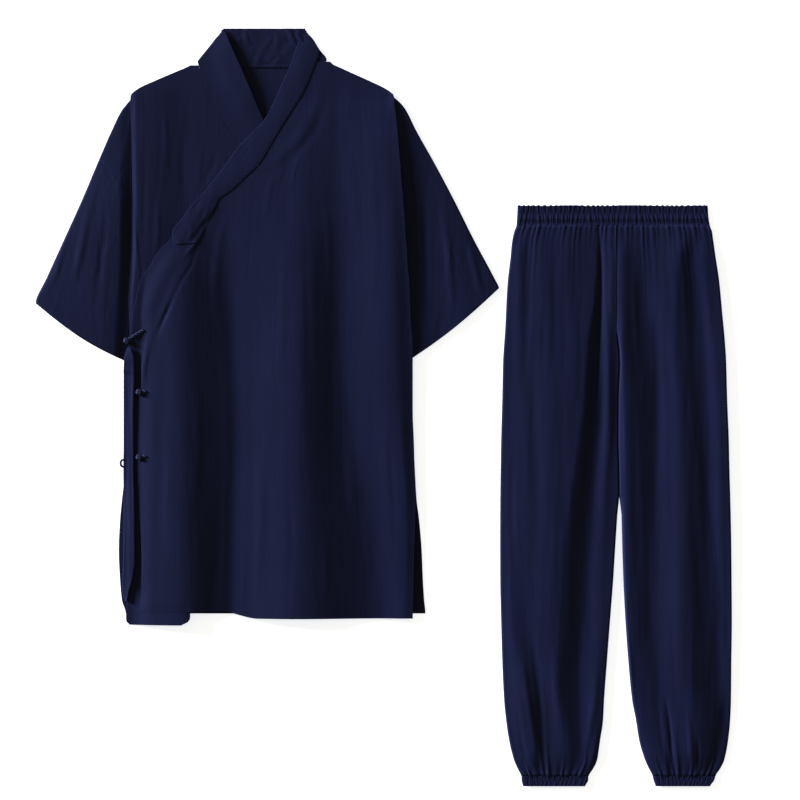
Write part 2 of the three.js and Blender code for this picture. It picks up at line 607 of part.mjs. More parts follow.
// Heights of the cloth of the top, layer by layer
const underFront = (x, y) => foldHeight(UNDER_FOLDS, x, y);
const topOf = (underside) => (x, y) => underside(x, y) + wallRise(underside, x, y);
const underFrontTop = topOf(underFront);
const overFront = (x, y) => {
  const free = foldHeight(FRONT_FOLDS, x, y) + rollHeight(FRONT_ROLLS, x, y);
  return x < UNDER_FRONT_REACH ? Math.max(free, underFrontTop(x, y) + LAP) : free;
};
const overFrontTop = topOf(overFront);

/** How far the over front's hem is moved from its last row: level at the flap side, lower past the hollow. */
function hemDrop(x) {
  return -HEM_DROP.depth * THREE.MathUtils.smoothstep(x, HEM_DROP.from, HEM_DROP.to);
}

/** Outline of the back panel: shoulders, then just inside the sleeves' seams, then the sides. */
function backOutline() {
  const inset = TUCK + 2 * SEAM;
  const beside = BODY_SIDE.map((row) => ({ y: row.y, left: row.right + inset, right: row.left - inset }));
  return [...BACK_SHOULDER, ...beside, ...BACK_SIDE];
}

/** Sections of a sleeve, from the armhole seam to the cuff, each from the over-arm fold to the under-arm. */
function sleeveSections(overArm, side, inward, cuffFoot, dip) {
  const overTop = overArm[0].y;
  const overEnd = overArm[overArm.length - 1].y;
  return evenly(SLEEVE_SECTIONS).map((w) => {
    const overY = THREE.MathUtils.lerp(overTop, overEnd, w);
    const underY = THREE.MathUtils.lerp(ARMHOLE_FOOT, cuffFoot, w);
    const underX = columnAt(BODY_SIDE, side, underY) + inward * TUCK;
    const swell = SLEEVE_CROWN * THREE.MathUtils.smoothstep(w, 0, SLEEVE_RISEN);
    const top = (t) => {
      const crown = swell * Math.sin(Math.PI * t) ** SLEEVE_FULLNESS;
      const hollow = dip * Math.exp(-(((t - DIP_PLACE) / DIP_SPREAD) ** 2)) * Math.sin(Math.PI * w);
      return TUBE_FOLD + Math.max(0, crown - hollow);
    };
    return { from: [columnAt(overArm, "x", overY), overY], to: [underX, underY], top };
  });
}

/** Rows across a neckband, from its sewn edge to its inner edge, with its height at both. */
function neckbandRows(table, outerFirst) {
  return table.map((row) => {
    const outer = [row.outerX, row.outerY];
    const inner = [row.innerX, row.innerY];
    return {
      from: outerFirst ? outer : inner,
      to: outerFirst ? inner : outer,
      fromZ: outerFirst ? row.outerZ : row.innerZ,
      toZ: outerFirst ? row.innerZ : row.outerZ,
      fractions: evenly(NECKBAND_COLUMNS),
    };
  });
}

/** Height across a neckband: a straight run between its edges with a soft crown. */
function bandHeight(row, t) {
  return THREE.MathUtils.lerp(row.fromZ, row.toZ, t) + NECKBAND_CROWN * Math.sin(Math.PI * t);
}

function addTop() {
  const flatPanel = (outline) => clothPanel(levelRows(outline, () => evenly(FLAT_COLUMNS)), () => FLOOR_LAYER);
  addPiece("back", flatPanel(backOutline()), COTTON);
  addPiece("neckband_back", flatPanel(NECKBAND_BACK), COTTON);
  const sleeveUpper = evenly(SLEEVE_UPPER_COLUMNS);
  const sleeveLower = evenly(SLEEVE_LOWER_COLUMNS);
  const rightSleeve = sleeveSections(OVER_ARM_RIGHT, "right", 1, CUFF_FOOT_RIGHT, 0);
  addPiece("sleeve_right", flatTube(rightSleeve, sleeveUpper, sleeveLower), COTTON);
  const leftSleeve = sleeveSections(OVER_ARM_LEFT, "left", -1, CUFF_FOOT_LEFT, SLEEVE_DIP);
  addPiece("sleeve_left", flatTube(leftSleeve, sleeveUpper, sleeveLower), COTTON);
  const underRows = levelRows(FRONT_UNDER, () => closerAtStart(UNDER_FRONT_COLUMNS, UNDER_FRONT_CROWDING));
  addPiece("front_right_under", clothPanel(underRows, underFront), COTTON);
  const overRows = levelRows(FRONT_OVER, () => evenly(OVER_FRONT_COLUMNS));
  overRows[overRows.length - 1].lift = hemDrop;
  overRows[overRows.length - 2].lift = (x) => hemDrop(x) / 2;
  addPiece("front_left_over", clothPanel(overRows, overFront), COTTON);
  const underBand = clothPanel(neckbandRows(NECKBAND_UNDER, true), (x, y, t, row) => bandHeight(row, t));
  addPiece("neckband_under", underBand, COTTON);
  const overBandHeight = (x, y, t, row) => Math.max(bandHeight(row, t), overFrontTop(x, y) + LAP);
  addPiece("neckband_over", clothPanel(neckbandRows(NECKBAND_OVER, false), overBandHeight), COTTON);
  const stripHeight = (x, y, t) => {
    const crown = STRIP_CROWN * Math.sin(Math.PI * t);
    const onSleeve = y > STRIP_ON_SLEEVE ? TUBE_FOLD + LAP : 0;
    return Math.max(underFrontTop(x, y) + LAP, onSleeve) + crown;
  };
  const stripRows = levelRows(SIDE_STRIP, () => evenly(FLAT_COLUMNS));
  addPiece("side_strip", clothPanel(stripRows, stripHeight), COTTON);
}

/** A round knot button. */
function knotBall(x, y, z) {
  const ball = new THREE.SphereGeometry(KNOT_RADIUS, KNOT_AROUND, KNOT_RINGS);
  ball.translate(x, y, z);
  return ball;
}

/** A cord along a smooth path through given points. */
function cordAlong(points, steps) {
  const path = new THREE.CatmullRomCurve3(points.map((point) => new THREE.Vector3(...point)));
  const section = new THREE.Shape().absarc(0, 0, KNOT_CORD, 0, 2 * Math.PI);
  return new THREE.ExtrudeGeometry(section, { extrudePath: path, steps, curveSegments: CORD_SIDES / 2 });
}

/** Lowest centre height at which a ball clears the tops of the pieces under it. */
function seatHeight(x, y, radius, tops) {
  let height = 0;
  for (const ring of evenly(SEAT_RINGS)) {
    for (const turn of evenly(SEAT_TURNS)) {
      const away = ring * radius;
      const px = x + away * Math.cos(2 * Math.PI * turn);
      const py = y + away * Math.sin(2 * Math.PI * turn);
      const belly = Math.sqrt(Math.max(0, radius ** 2 - away ** 2));
      const top = Math.max(...tops.map((surface) => surface(px, py)));
      height = Math.max(height, top + SEAM + belly);
    }
  }
  return height;
}

/** Top of the under front, and of the over front beyond its free edge, for what rests on them. */
const nearUnderFront = (x, y) => (x > columnAt(FRONT_UNDER, "left", y) - 1 ? underFrontTop(x, y) : 0);
const nearOverFront = (x, y) => (x > columnAt(FRONT_OVER, "left", y) - 1 ? overFrontTop(x, y) : 0);

function addKnots() {
  const sleeveTop = () => TUBE_FOLD + LAP;
  for (const knot of KNOTS) {
    const z = seatHeight(knot.x, knot.y, KNOT_RADIUS, [nearUnderFront, nearOverFront, sleeveTop]);
    addPiece(knot.name, knotBall(knot.x, knot.y, z), CORD_COTTON);
    const dx = knot.cordX - knot.x;
    const dy = knot.cordY - knot.y;
    const run = Math.hypot(dx, dy);
    const start = (KNOT_RADIUS + KNOT_CORD + SEAM) / run;
    const side = [-dy / run, dx / run].map((part) => part * (KNOT_CORD + SEAM));
    const onCloth = ([way, across]) => {
      const t = THREE.MathUtils.lerp(start, 1, way);
      const x = knot.x + dx * t + side[0] * across;
      const y = knot.y + dy * t + side[1] * across;
      const slack = z * (1 - THREE.MathUtils.smoothstep(way, 0, CORD_SETTLED));
      return [x, y, Math.max(nearOverFront(x, y) + KNOT_CORD + CORD_LIFT, slack)];
    };
    addPiece(knot.name + "_cord", cordAlong(HAIRPIN.map(onCloth), knot.cordSteps), CORD_COTTON);
  }
  const loop = KNOT_LOOP.map(([x, y]) => [x, y, CLOTH + SEAM + KNOT_CORD]);
  addPiece("knot_3_loop", cordAlong(loop, LOOP_STEPS), CORD_COTTON);
}

/** Places of the dips between gathers, from 0 to 1, unevenly spaced. */
function gatherDips({ count, uneven }) {
  return evenly(count).map((t, i) => {
    const atEnd = i === 0 || i === count;
    return t + (atEnd ? 0 : (uneven / count) * Math.sin(GATHER_PACE.spacing * i));
  });
}

/** Height of the gathers at a fraction across them and at a depth below the line they are drawn in on. */
function gatherHeight(gathers, dips, t, depth) {
  if (t <= 0 || t >= 1) {
    return 0;
  }
  const i = dips.findIndex((dip) => dip > t) - 1;
  const within = (t - dips[i]) / (dips[i + 1] - dips[i]);
  const share = THREE.MathUtils.lerp(LOWEST_GATHER, 1, Math.sin(GATHER_PACE.height * i) ** 2);
  const reach = THREE.MathUtils.lerp(gathers.shortest, gathers.longest, Math.sin(GATHER_PACE.reach * i) ** 4);
  return gathers.height * share * Math.sin(Math.PI * within) ** 2 * Math.exp(-depth / reach);
}

/** Fractions at the dips and on both shoulders of each gather between two places. */
function gatherFractions(dips, from, to) {
  const places = dips.flatMap((dip, i) => {
    const next = dips[i + 1] ?? dip;
    return i < dips.length - 1 ? [dip, dip + (next - dip) / 3, dip + (2 * (next - dip)) / 3] : [dip];
  });
  const margin = SEAM_MARGIN / dips.length;
  const inside = places.filter((place) => place > from + margin && place < to - margin);
  return [0, ...inside.map((place) => (place - from) / (to - from)), 1];
}

const waistDips = gatherDips(WAIST_GATHERS);
const ankleDips = gatherDips(ANKLE_GATHERS);

/** Gathers under the waistband, across both fronts. */
function waistGathers(x, y) {
  const left = columnAt(LEG_RIGHT, "left", y);
  const right = columnAt(LEG_LEFT, "right", y);
  return gatherHeight(WAIST_GATHERS, waistDips, (x - left) / (right - left), Math.max(0, WAIST_FOOT - y));
}

/** Gathers over an ankle band, across one leg. */
function ankleGathers(outline, x, y) {
  const left = columnAt(outline, "left", y);
  const right = columnAt(outline, "right", y);
  return gatherHeight(ANKLE_GATHERS, ankleDips, (x - left) / (right - left), Math.max(0, y - ANKLE_TOP));
}

/** Underside of a leg's front panel: its long folds with the gathers of both bands. */
function legFront(outline, folds) {
  return (x, y) => foldHeight(folds, x, y) + waistGathers(x, y) + ankleGathers(outline, x, y);
}

/** Rows of a leg's front panel: dense where the gathers are, plain along the leg. */
function legRows(outline, from, to) {
  const waistDense = gatherFractions(waistDips, from, to);
  const waistSparse = waistDense.filter((t, i) => i % 2 === 0 || i === waistDense.length - 1);
  const ankleDense = gatherFractions(ankleDips, 0, 1);
  return levelRows(outline, (row) => {
    if (row.y > DENSE_TO) {
      return waistDense;
    }
    if (row.y > SPARSE_TO) {
      return waistSparse;
    }
    return row.y < ANKLE_DENSE_FROM ? ankleDense : evenly(LEG_COLUMNS);
  });
}

/** An elasticated band: a flattened ring whose upper wall is gathered and whose lower wall lies flat. */
function elasticBand(rows, gathers, dips) {
  const fractions = gatherFractions(dips, 0, 1);
  const sections = rows.map((row) => ({
    from: [row.left, row.y],
    to: [row.right, row.y],
    top: (t) => BAND_FLOOR + CLOTH + row.puff * gatherHeight(gathers, dips, t, 0),
  }));
  return flatTube(sections, fractions, evenly(BAND_LOWER_COLUMNS));
}

function addTrousers() {
  const middle = (LEG_RIGHT[0].right - LEG_RIGHT[0].left) / (LEG_LEFT[0].right - LEG_RIGHT[0].left);
  addPiece("waistband", elasticBand(WAIST_BAND, WAIST_GATHERS, waistDips), COTTON);
  const legs = [
    { side: "right", outline: LEG_RIGHT, folds: LEG_RIGHT_FOLDS, from: 0, to: middle, band: ANKLE_BAND_RIGHT },
    { side: "left", outline: LEG_LEFT, folds: LEG_LEFT_FOLDS, from: middle, to: 1, band: ANKLE_BAND_LEFT },
  ];
  for (const leg of legs) {
    const back = levelRows(leg.outline, () => evenly(FLAT_COLUMNS));
    addPiece("leg_back_" + leg.side, clothPanel(back, () => FLOOR_LAYER), COTTON);
    const front = legRows(leg.outline, leg.from, leg.to);
    addPiece("leg_front_" + leg.side, clothPanel(front, legFront(leg.outline, leg.folds)), COTTON);
    addPiece("ankle_band_" + leg.side, elasticBand(leg.band, ANKLE_GATHERS, ankleDips), COTTON);
  }
}

addTop();
addKnots();
addTrousers();

export default group;
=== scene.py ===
import math

import bpy
import numpy as np
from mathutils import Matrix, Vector


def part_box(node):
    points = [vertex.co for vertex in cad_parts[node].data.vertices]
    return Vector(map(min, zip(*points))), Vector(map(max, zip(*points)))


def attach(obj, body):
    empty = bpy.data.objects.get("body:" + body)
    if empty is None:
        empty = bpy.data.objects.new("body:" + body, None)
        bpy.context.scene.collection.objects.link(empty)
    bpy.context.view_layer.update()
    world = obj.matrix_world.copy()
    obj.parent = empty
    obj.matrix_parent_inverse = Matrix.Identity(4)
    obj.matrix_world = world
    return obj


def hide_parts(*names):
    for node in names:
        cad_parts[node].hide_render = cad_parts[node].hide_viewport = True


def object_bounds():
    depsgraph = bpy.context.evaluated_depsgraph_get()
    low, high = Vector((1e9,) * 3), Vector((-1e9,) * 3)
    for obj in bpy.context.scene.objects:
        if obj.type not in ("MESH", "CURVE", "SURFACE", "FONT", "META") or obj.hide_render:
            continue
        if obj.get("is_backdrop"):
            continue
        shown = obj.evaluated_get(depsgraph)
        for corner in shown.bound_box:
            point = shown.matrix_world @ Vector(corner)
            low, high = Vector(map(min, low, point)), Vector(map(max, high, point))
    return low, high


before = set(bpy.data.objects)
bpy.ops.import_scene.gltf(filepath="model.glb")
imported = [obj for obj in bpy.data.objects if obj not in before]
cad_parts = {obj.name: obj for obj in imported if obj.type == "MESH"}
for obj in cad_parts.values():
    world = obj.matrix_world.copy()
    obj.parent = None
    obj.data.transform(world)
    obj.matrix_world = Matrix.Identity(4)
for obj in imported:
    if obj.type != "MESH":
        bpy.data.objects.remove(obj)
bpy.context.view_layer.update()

# A tai chi uniform laid flat, in millimetres of the model's own until a mesh is made. x runs from the top to
# the trousers, and y towards the neck and the waist.
MM = 0.001
CLOTH = 1.2  # rise from a layer's underside to its upper side in the solids
SHEET = 0.8  # thickness shown at the edges of the cloth
LIP = 0.3  # how far a turned edge stands out past its outline
TUCKED = -0.2  # the same where it is rolled under
BACK_LEVEL = 1.0  # upper side of the back panel
FLUSH = 0.85  # how far the over front sinks at its hem and its lower corner
UNDER_GAP, OVER_GAP = 0.15, 0.2  # clearances between the two fronts: at the hem, and elsewhere
STRIP_LAP = 0.3  # clearance of the side strip over the under front
NECK_LEVEL, NECK_SEAM = 1.9, 549  # the back of the neckband's height, and y of its seam
SLEEVE_TUCK = 4  # how far a sleeve's foot lies inside the body's side
TUBE_FOLD = 3.2  # outer height of a flattened tube at its folds
FOLD_RADIUS = 3.4  # how far in from a fold a tube is rounded
LOWER_COLUMNS = 12  # columns of its flat lower wall
CENTRE_SEAM = 372.6  # x of the seam between the legs
CROTCH = (116, 126)  # y over which that seam begins
SEAM_DIP, SEAM_HALF = 0.35, 1.6  # depth and half width of a seam
SEAM_STEP = 1.6  # how far a leg sinks past the centre seam
WAIST_FOOT = 291  # y where the legs meet the waistband
ANKLE_TOP = -590  # y where they meet the ankle bands
RELIEF = 1.12  # height of the long folds here, as a multiple of the tables'

# Outlines: y, left, right
BACK = [
    (545, -290, -99), (531, -330, -56), (523, -358, -30), (507, -392, 2), (499, -400, 11), (411, -399, 17),
    (331, -398, 24), (251, -398, 30), (171, -402, 36), (78, -407, 41), (64, -414, 45), (-21, -416, 46),
    (-117, -416, 50), (-149, -419, 52), (-181, -422, 56), (-229, -424, 60), (-277, -422, 62), (-309, -419, 64),
    (-330, -413, 66),
]
FRONT_UNDER = [
    (546, -310, -296.6), (539, -325, -294.6), (523, -362, -289.4), (507, -395, -282.9), (497, -405, -278.8),
    (478, -405, -268.6), (462, -404, -259.7), (437, -403, -243.7), (418, -402.6, -230.7), (400, -402.4, -226),
    (379, -402, -235), (355, -402, -253), (331, -402, -272), (291, -402.5, -288), (251, -403, -298),
    (211, -406, -301), (171, -408, -303), (123, -406, -305), (99, -408, -306), (72, -414, -306),
    (11, -413, -307), (-101, -413, -307), (-213, -412, -308), (-309, -411, -309), (-336, -412.4, -309),
    (-344, -411.4, -314), (-348, -407, -323),
]
FRONT_OVER = [
    (552, -146, -86), (539, -149, -62), (523, -157, -27), (507, -164, 5), (497, -168, 16), (483, -174, 17),
    (458, -188, 20), (435, -210, 22), (411, -232, 24), (390, -247, 26), (363, -267, 28), (342, -283, 30),
    (326, -299, 31), (302, -317, 33), (286, -331, 34), (267, -342, 35), (251, -358, 37), (227, -373, 38),
    (205, -387, 40), (168, -397, 42), (139, -402, 43), (115, -403, 45), (99, -397, 46), (78, -388.5, 46),
    (43, -387.5, 46), (-5, -392.8, 46), (-60, -393.4, 48), (-101, -395.4, 49), (-140, -394, 51),
    (-181, -389.6, 50), (-245, -387.2, 48), (-296, -387.5, 47), (-327, -388.5, 46),
]
HEM_DROP = (-262, -200, 11)  # from, to, depth: the over front's hem hangs lower past the hollow beside the flap
NECKBAND_BACK = [
    (605, -257, -126), (587, -271, -113), (571, -282, -103), (555, -293, -92), (543, -289, -99),
]
SIDE_STRIP = [
    (94, -410.5, -403.5), (82, -414, -398.5), (66, -415.6, -397.2), (43, -416, -397.2), (-5, -416, -398.4),
    (-60, -416, -399), (-101, -416.4, -399.4), (-140, -416, -398.6), (-181, -416, -397.4),
    (-245, -416.8, -397.6), (-277, -418, -401.5), (-293, -418.5, -407), (-306, -415.5, -410), (-310, -414, -412),
]
WAIST = [
    (322, 213.5, 518), (309, 213, 518.5), (301, 212.6, 519.3), (294, 212.2, 520.4), (290.5, 212, 521),
]
LEG_RIGHT = [
    (291.3, 212, 374.2), (280, 208, 374.2), (262, 204.4, 374.2), (235, 202, 374.2), (203, 198, 374.2),
    (171, 196, 374.2), (139, 194.5, 374.2), (120, 193.5, 374), (75, 190.4, 377.4), (11, 189, 375.2),
    (-53, 187.2, 374.8), (-101, 186.4, 376.2), (-140, 185.9, 376.6), (-149, 185.8, 375.2), (-213, 185.6, 370.6),
    (-277, 185.8, 366.6), (-341, 187.2, 361.6), (-405, 189, 356.8), (-469, 192, 352), (-501, 195.2, 350.4),
    (-533, 200, 345.6), (-565, 208, 340.8), (-581, 215, 333), (-590.5, 219.6, 327),
]
LEG_LEFT = [
    (291.3, 371, 521), (280, 371, 524.8), (262, 371, 527), (235, 371, 531.2), (203, 371, 536), (171, 371, 539.2),
    (139, 371, 542), (120, 372.4, 544), (75, 376.6, 547.2), (11, 374.4, 549), (-53, 374, 551.6),
    (-101, 375.4, 552.6), (-140, 375.8, 553.8), (-149, 377.6, 554), (-165, 379.6, 554.4), (-213, 380.8, 555.4),
    (-277, 382.8, 556), (-341, 386, 556.4), (-405, 390.6, 555.6), (-469, 396.8, 555), (-501, 403, 553.6),
    (-533, 408, 550.4), (-565, 417.6, 544), (-581, 425, 536), (-590.5, 429.6, 530),
]
ANKLE_RIGHT = [(-590, 219.8, 326.8), (-597, 220, 326.6), (-606, 222, 322)]
ANKLE_LEFT = [(-590, 429.8, 529.8), (-597, 431, 528), (-606, 434, 522)]

# Over-arm folds of the sleeves: y, x; and where the body's sides meet the under-arm: y, right side, left side
OVER_ARM_RIGHT = [
    (512, -389), (497, -401), (487, -409), (475, -419), (443, -435), (395, -456), (331, -483), (267, -512),
    (203, -541), (166, -557),
]
OVER_ARM_LEFT = [
    (512, -3), (497, 14), (488, 24.5), (475, 35), (443, 51), (395, 78), (331, 112), (267, 144), (203, 178),
    (190, 184),
]
BODY_SIDE = [
    (499, -405, 16), (411, -404, 22), (331, -403, 29), (251, -403, 35), (171, -407, 41), (78, -412, 46),
]
ARMHOLE_TOP, ARMHOLE_FOOT = 497, 280  # y where a sleeve leaves the body, above and below
CUFF_FOOT_RIGHT, CUFF_FOOT_LEFT = 71, 76  # y of each cuff's lower end

# Neckbands: inner x, inner y, outer x, outer y, inner height, outer height
NECKBAND_UNDER = [
    (-256, 604, -298, 553, 3.6, 1.7), (-245, 579, -290, 526, 6.4, 1.8), (-230, 546, -277, 494, 7, 2),
    (-214, 509, -259, 462, 6.4, 1.8), (-202, 480, -243, 437, 4.4, 1.7), (-192, 458, -230, 418, 3, 1.6),
    (-184, 440, -221, 405, 2, 1.6),
]
NECKBAND_OVER = [
    (-128, 604, -102, 570, 2, 1.7), (-139, 579, -107, 555, 4.4, 2.6), (-150, 546, -115, 534, 6.4, 3.6),
    (-165, 512, -128, 504, 7, 4.4), (-178, 483, -146, 475, 7.2, 5.4), (-192, 458, -166, 443, 7.4, 6.6),
    (-214, 435, -182, 416, 7, 6.8), (-230, 419, -198, 390, 7, 6.8), (-251, 390, -222, 366, 7, 6.8),
    (-272, 363, -243, 346, 7, 6.8), (-288, 342, -264, 330, 7, 6.8), (-304, 326, -272, 312, 7, 6.8),
    (-322, 302, -283, 290, 7, 6.8), (-338, 277, -294, 268, 7, 6.8), (-334, 260, -297, 262, 7, 6.8),
]

# Long folds: y, places of ridges and hollows across, and the height of the underside at each
UNDER_FOLDS = [
    (546, (-405, -396, -366, -310), (1.6, 1.6, 1.6, 1.6)),
    (497, (-405, -396, -366, -310), (2.8, 4.2, 4, 2.4)),
    (331, (-402, -394, -366, -310), (3.2, 5.8, 5.3, 2.4)),
    (240, (-404, -395, -368, -320), (3.2, 6.2, 5.6, 2.4)),
    (171, (-408, -400, -382, -340), (3.4, 5, 4.4, 2)),
    (78, (-412, -404, -392, -360), (3.6, 3.8, 3, 1.8)),
    (50, (-413, -404, -392, -360), (0.7, 1.3, 1.7, 1.6)),
]
ACROSS_CHEST = (-403, -360, -307, -275, -251, -225, -131, -75, 5, 16)
FRONT_FOLDS = [
    (600, ACROSS_CHEST, (0.4,) * 10),
    (545, ACROSS_CHEST, (1.7,) * 10),
    (497, ACROSS_CHEST, (2.4, 2.4, 2.4, 2.4, 2.4, 2.4, 2.6, 2.6, 3.8, 5)),
    (470, (-403, -360, -307, -275, -251, -225, -131, -75, 6, 18),
     (2.8, 2.8, 2.8, 2.8, 2.8, 2.9, 3.6, 3.6, 6.4, 7)),
    (411, (-403, -360, -307, -275, -251, -225, -131, -75, 8, 23),
     (2.8, 2.8, 2.8, 3, 3.2, 3.5, 4.8, 3.8, 8.4, 8.4)),
    (331, (-403, -362, -307, -278, -251, -225, -131, -72, 10, 30),
     (3.4, 4, 4.4, 4.2, 4, 4.4, 6.4, 4.4, 9.6, 9)),
    (280, (-404, -366, -322, -280, -250, -225, -130, -67, 12, 34),
     (3.4, 5.2, 6.6, 4.8, 3.8, 4.5, 7.6, 4, 9.8, 8.6)),
    (187, (-404, -368, -328, -272, -246, -222, -131, -66, 15, 41),
     (3, 7.4, 10, 4.8, 2.8, 4, 9.6, 3.2, 9.6, 7.6)),
    (91, (-404, -368, -328, -262, -240, -218, -136, -64, 18, 46),
     (2, 7.6, 10.8, 4.2, 2.2, 3.8, 10.6, 2.8, 8.6, 6.4)),
    (-53, (-405, -368, -326, -256, -237, -216, -138, -50, 25, 48),
     (1.6, 7.8, 11.2, 3.6, 2, 3.8, 11.6, 2.4, 7, 4.6)),
    (-149, (-405, -368, -325, -256, -240, -220, -135, -29, 33, 51),
     (1.5, 7.8, 11.4, 3.4, 1.8, 3.8, 12.2, 2.2, 6, 4.4)),
    (-245, (-405, -368, -322, -258, -242, -222, -136, -14, 34, 49),
     (1.5, 7.9, 11.6, 3.4, 1.8, 3.8, 12.6, 2, 5.4, 4.4)),
    (-340, (-405, -368, -320, -260, -244, -224, -138, -6, 34, 46),
     (1.5, 8, 11.8, 3.4, 1.8, 3.8, 13, 2, 5, 4.4)),
]
LEG_RIGHT_FOLDS = [
    (291, (212, 224, 232, 252, 274, 300, 348, 360, 372), (2.2, 2.6, 2.6, 3, 2.8, 3, 2.4, 2.8, 2.8)),
    (235, (202, 216, 230, 253, 274, 339, 346, 356, 372), (2.6, 4, 3.2, 4.8, 4.2, 3.8, 2.8, 4.2, 4.8)),
    (171, (196, 217, 229, 254, 275, 334, 346, 357, 372), (2.6, 4.6, 4.2, 5.8, 5.2, 4.8, 2.5, 4.6, 5.2)),
    (107, (193, 214, 228, 250, 272, 324, 345, 358, 372), (2.6, 4.4, 5, 6.4, 6.6, 6.8, 2.2, 5, 4)),
    (11, (189, 210, 226, 248, 272, 316, 346, 359, 373), (2.6, 4, 5, 6.6, 7.8, 8, 2, 4.8, 3.2)),
    (-117, (186, 203, 222, 242, 264, 298, 336, 354, 372), (2.6, 4.6, 5.6, 6.8, 8.2, 8.4, 2, 4.6, 3.6)),
    (-245, (186, 203, 214, 238, 256, 282, 328, 352, 368), (2.8, 4.8, 5, 6.2, 7.8, 8.4, 2, 4.6, 4.2)),
    (-341, (187, 206, 224, 236, 254, 278, 322, 350, 362), (2.8, 5.2, 5, 5.6, 7.2, 8, 2, 4.6, 4.2)),
    (-437, (190, 222, 247, 253, 261, 275, 314, 342, 354), (2.8, 6.2, 4.8, 4.8, 5.6, 7.2, 2.2, 4.6, 4)),
    (-501, (195, 229, 253, 261, 269, 284, 314, 338, 350), (2.8, 6.6, 4, 4, 4.6, 6.4, 3, 4.6, 4)),
    (-550, (204, 237, 255, 263, 271, 290, 318, 335, 343), (2.8, 6, 4.4, 4.4, 4.8, 6, 3.8, 4.6, 3.8)),
    (-590, (219, 232, 246, 258, 268, 288, 306, 318, 328), (2.2, 3, 2.6, 2.8, 3, 3, 2.6, 2.8, 2.2)),
]
LEG_LEFT_FOLDS = [
    (291, (372, 384, 400, 420, 460, 480, 500, 512, 521), (2.8, 2.8, 2.6, 2.6, 3, 2.8, 2.6, 2.6, 2.2)),
    (235, (372, 380, 398, 418, 446, 470, 494, 512, 531), (4.8, 5.4, 3.8, 3, 4.4, 6.2, 3.2, 4.6, 4.4)),
    (171, (372, 381, 398, 419, 442, 466, 499, 520, 539), (5.2, 6, 4, 2.2, 4.8, 6.6, 3, 5, 5)),
    (107, (372, 381, 400, 428, 446, 466, 504, 528, 545), (4.8, 6.8, 4.4, 2, 3.6, 5.8, 2.6, 5, 5.2)),
    (11, (373, 385, 410, 436, 454, 472, 514, 536, 549), (4.6, 7.1, 4.7, 2, 4, 6.2, 2.9, 5.2, 5.4)),
    (-117, (374, 387, 410, 434, 454, 476, 520, 540, 553), (4.9, 7.2, 5.1, 2.5, 4.8, 7.2, 3.3, 5.2, 5.4)),
    (-245, (382, 391, 411, 431, 454, 477, 523, 542, 556), (6.4, 7.2, 5.2, 3, 5.4, 8, 3.8, 5, 5.2)),
    (-341, (386, 396, 412, 431, 454, 478, 530, 546, 556), (6.2, 6.8, 5.3, 3.5, 5.8, 8.2, 3.8, 4.6, 4.8)),
    (-437, (394, 405, 420, 438, 458, 482, 538, 548, 555), (5.6, 5.4, 4.8, 4.2, 5.8, 8, 3.4, 3.8, 4.2)),
    (-501, (403, 414, 430, 446, 468, 494, 531, 546, 554), (4.8, 5.4, 5.4, 5, 6.6, 7.4, 4.8, 2.7, 2.7)),
    (-550, (413, 424, 440, 452, 470, 492, 519, 537, 547), (4, 5.4, 5.8, 5.2, 6.6, 6.6, 4.9, 2.4, 2.1)),
    (-590, (429, 440, 452, 462, 476, 492, 506, 520, 530), (2.2, 2.8, 3, 2.6, 3, 3, 2.8, 2, 1.6)),
]

# Creases placed one by one: half width, height (below 0 for a trough), then x and y of each place on the path
FRONT_CREASES = [
    (16, 0.5, -98, 535, -108, 480, -131, 436, -160, 404, -196, 372),
    (18, 1.1, -388, 128, -372, 165, -352, 215, -318, 262),
    (5.5, -0.5, -269, 320, -290, 288, -307, 226, -325, 198, -346, 154, -362, 117, -378, 86),
    (4.5, -1.3, -334, 176, -348, 148, -364, 110),
    (8, 1.6, -371, 124, -379, 91, -384, 59, -384, 27),
    (13, -0.4, -92, 500, -106, 450, -128, 418, -150, 396, -206, 358),
    (8, -0.2, -150, 395, -163, 360, -170, 318),
    (5, 0.25, -135, 405, -144, 372, -149, 345),
    (7, 0.35, -176, 384, -183, 345, -190, 300),
    (6, 0.9, -281, 300, -300, 262, -322, 236),
    (12, 0.5, -250, 315, -262, 270, -270, 200, -268, 120),
    (10, -0.3, -128, 330, -124, 240, -120, 120, -121, 20),
    (11, 0.4, -162, 262, -160, 170, -164, 60),
    (9, 0.3, -92, 330, -88, 250, -86, 170),
    (14, 0.4, -60, 420, -50, 340, -40, 260),
    (11, -0.3, -10, 430, -6, 330, -2, 200),
    (11, -0.3, -360, 20, -352, -80, -356, -180, -350, -260),
    (12, 0.4, -300, 60, -296, -60, -302, -170),
    (12, 0.4, -200, -60, -196, -180, -204, -310),
    (10, -0.3, -150, -120, -146, -220, -152, -320),
    (9, 0.3, -96, -200, -92, -260, -97, -325),
    (12, 0.4, -60, 20, -56, -90, -44, -200),
    (9, -0.35, 6, -20, 12, -110, 20, -210),
]
UNDER_CREASES = [
    (4, 0.3, -398, 470, -398, 350, -398, 250, -399, 200),
    (5, 0.5, -402, 330, -399, 290, -390, 200),
    (7, -0.3, -381, 440, -383, 330, -385, 240),
    (8, 0.3, -350, 480, -347, 420, -352, 350),
    (9, -0.3, -320, 450, -322, 380, -318, 320),
    (8, 0.3, -290, 430, -296, 380, -299, 345),
    (8, -0.3, -262, 420, -276, 380, -290, 350),
    (7, 0.35, -362, 330, -360, 280, -366, 236),
]
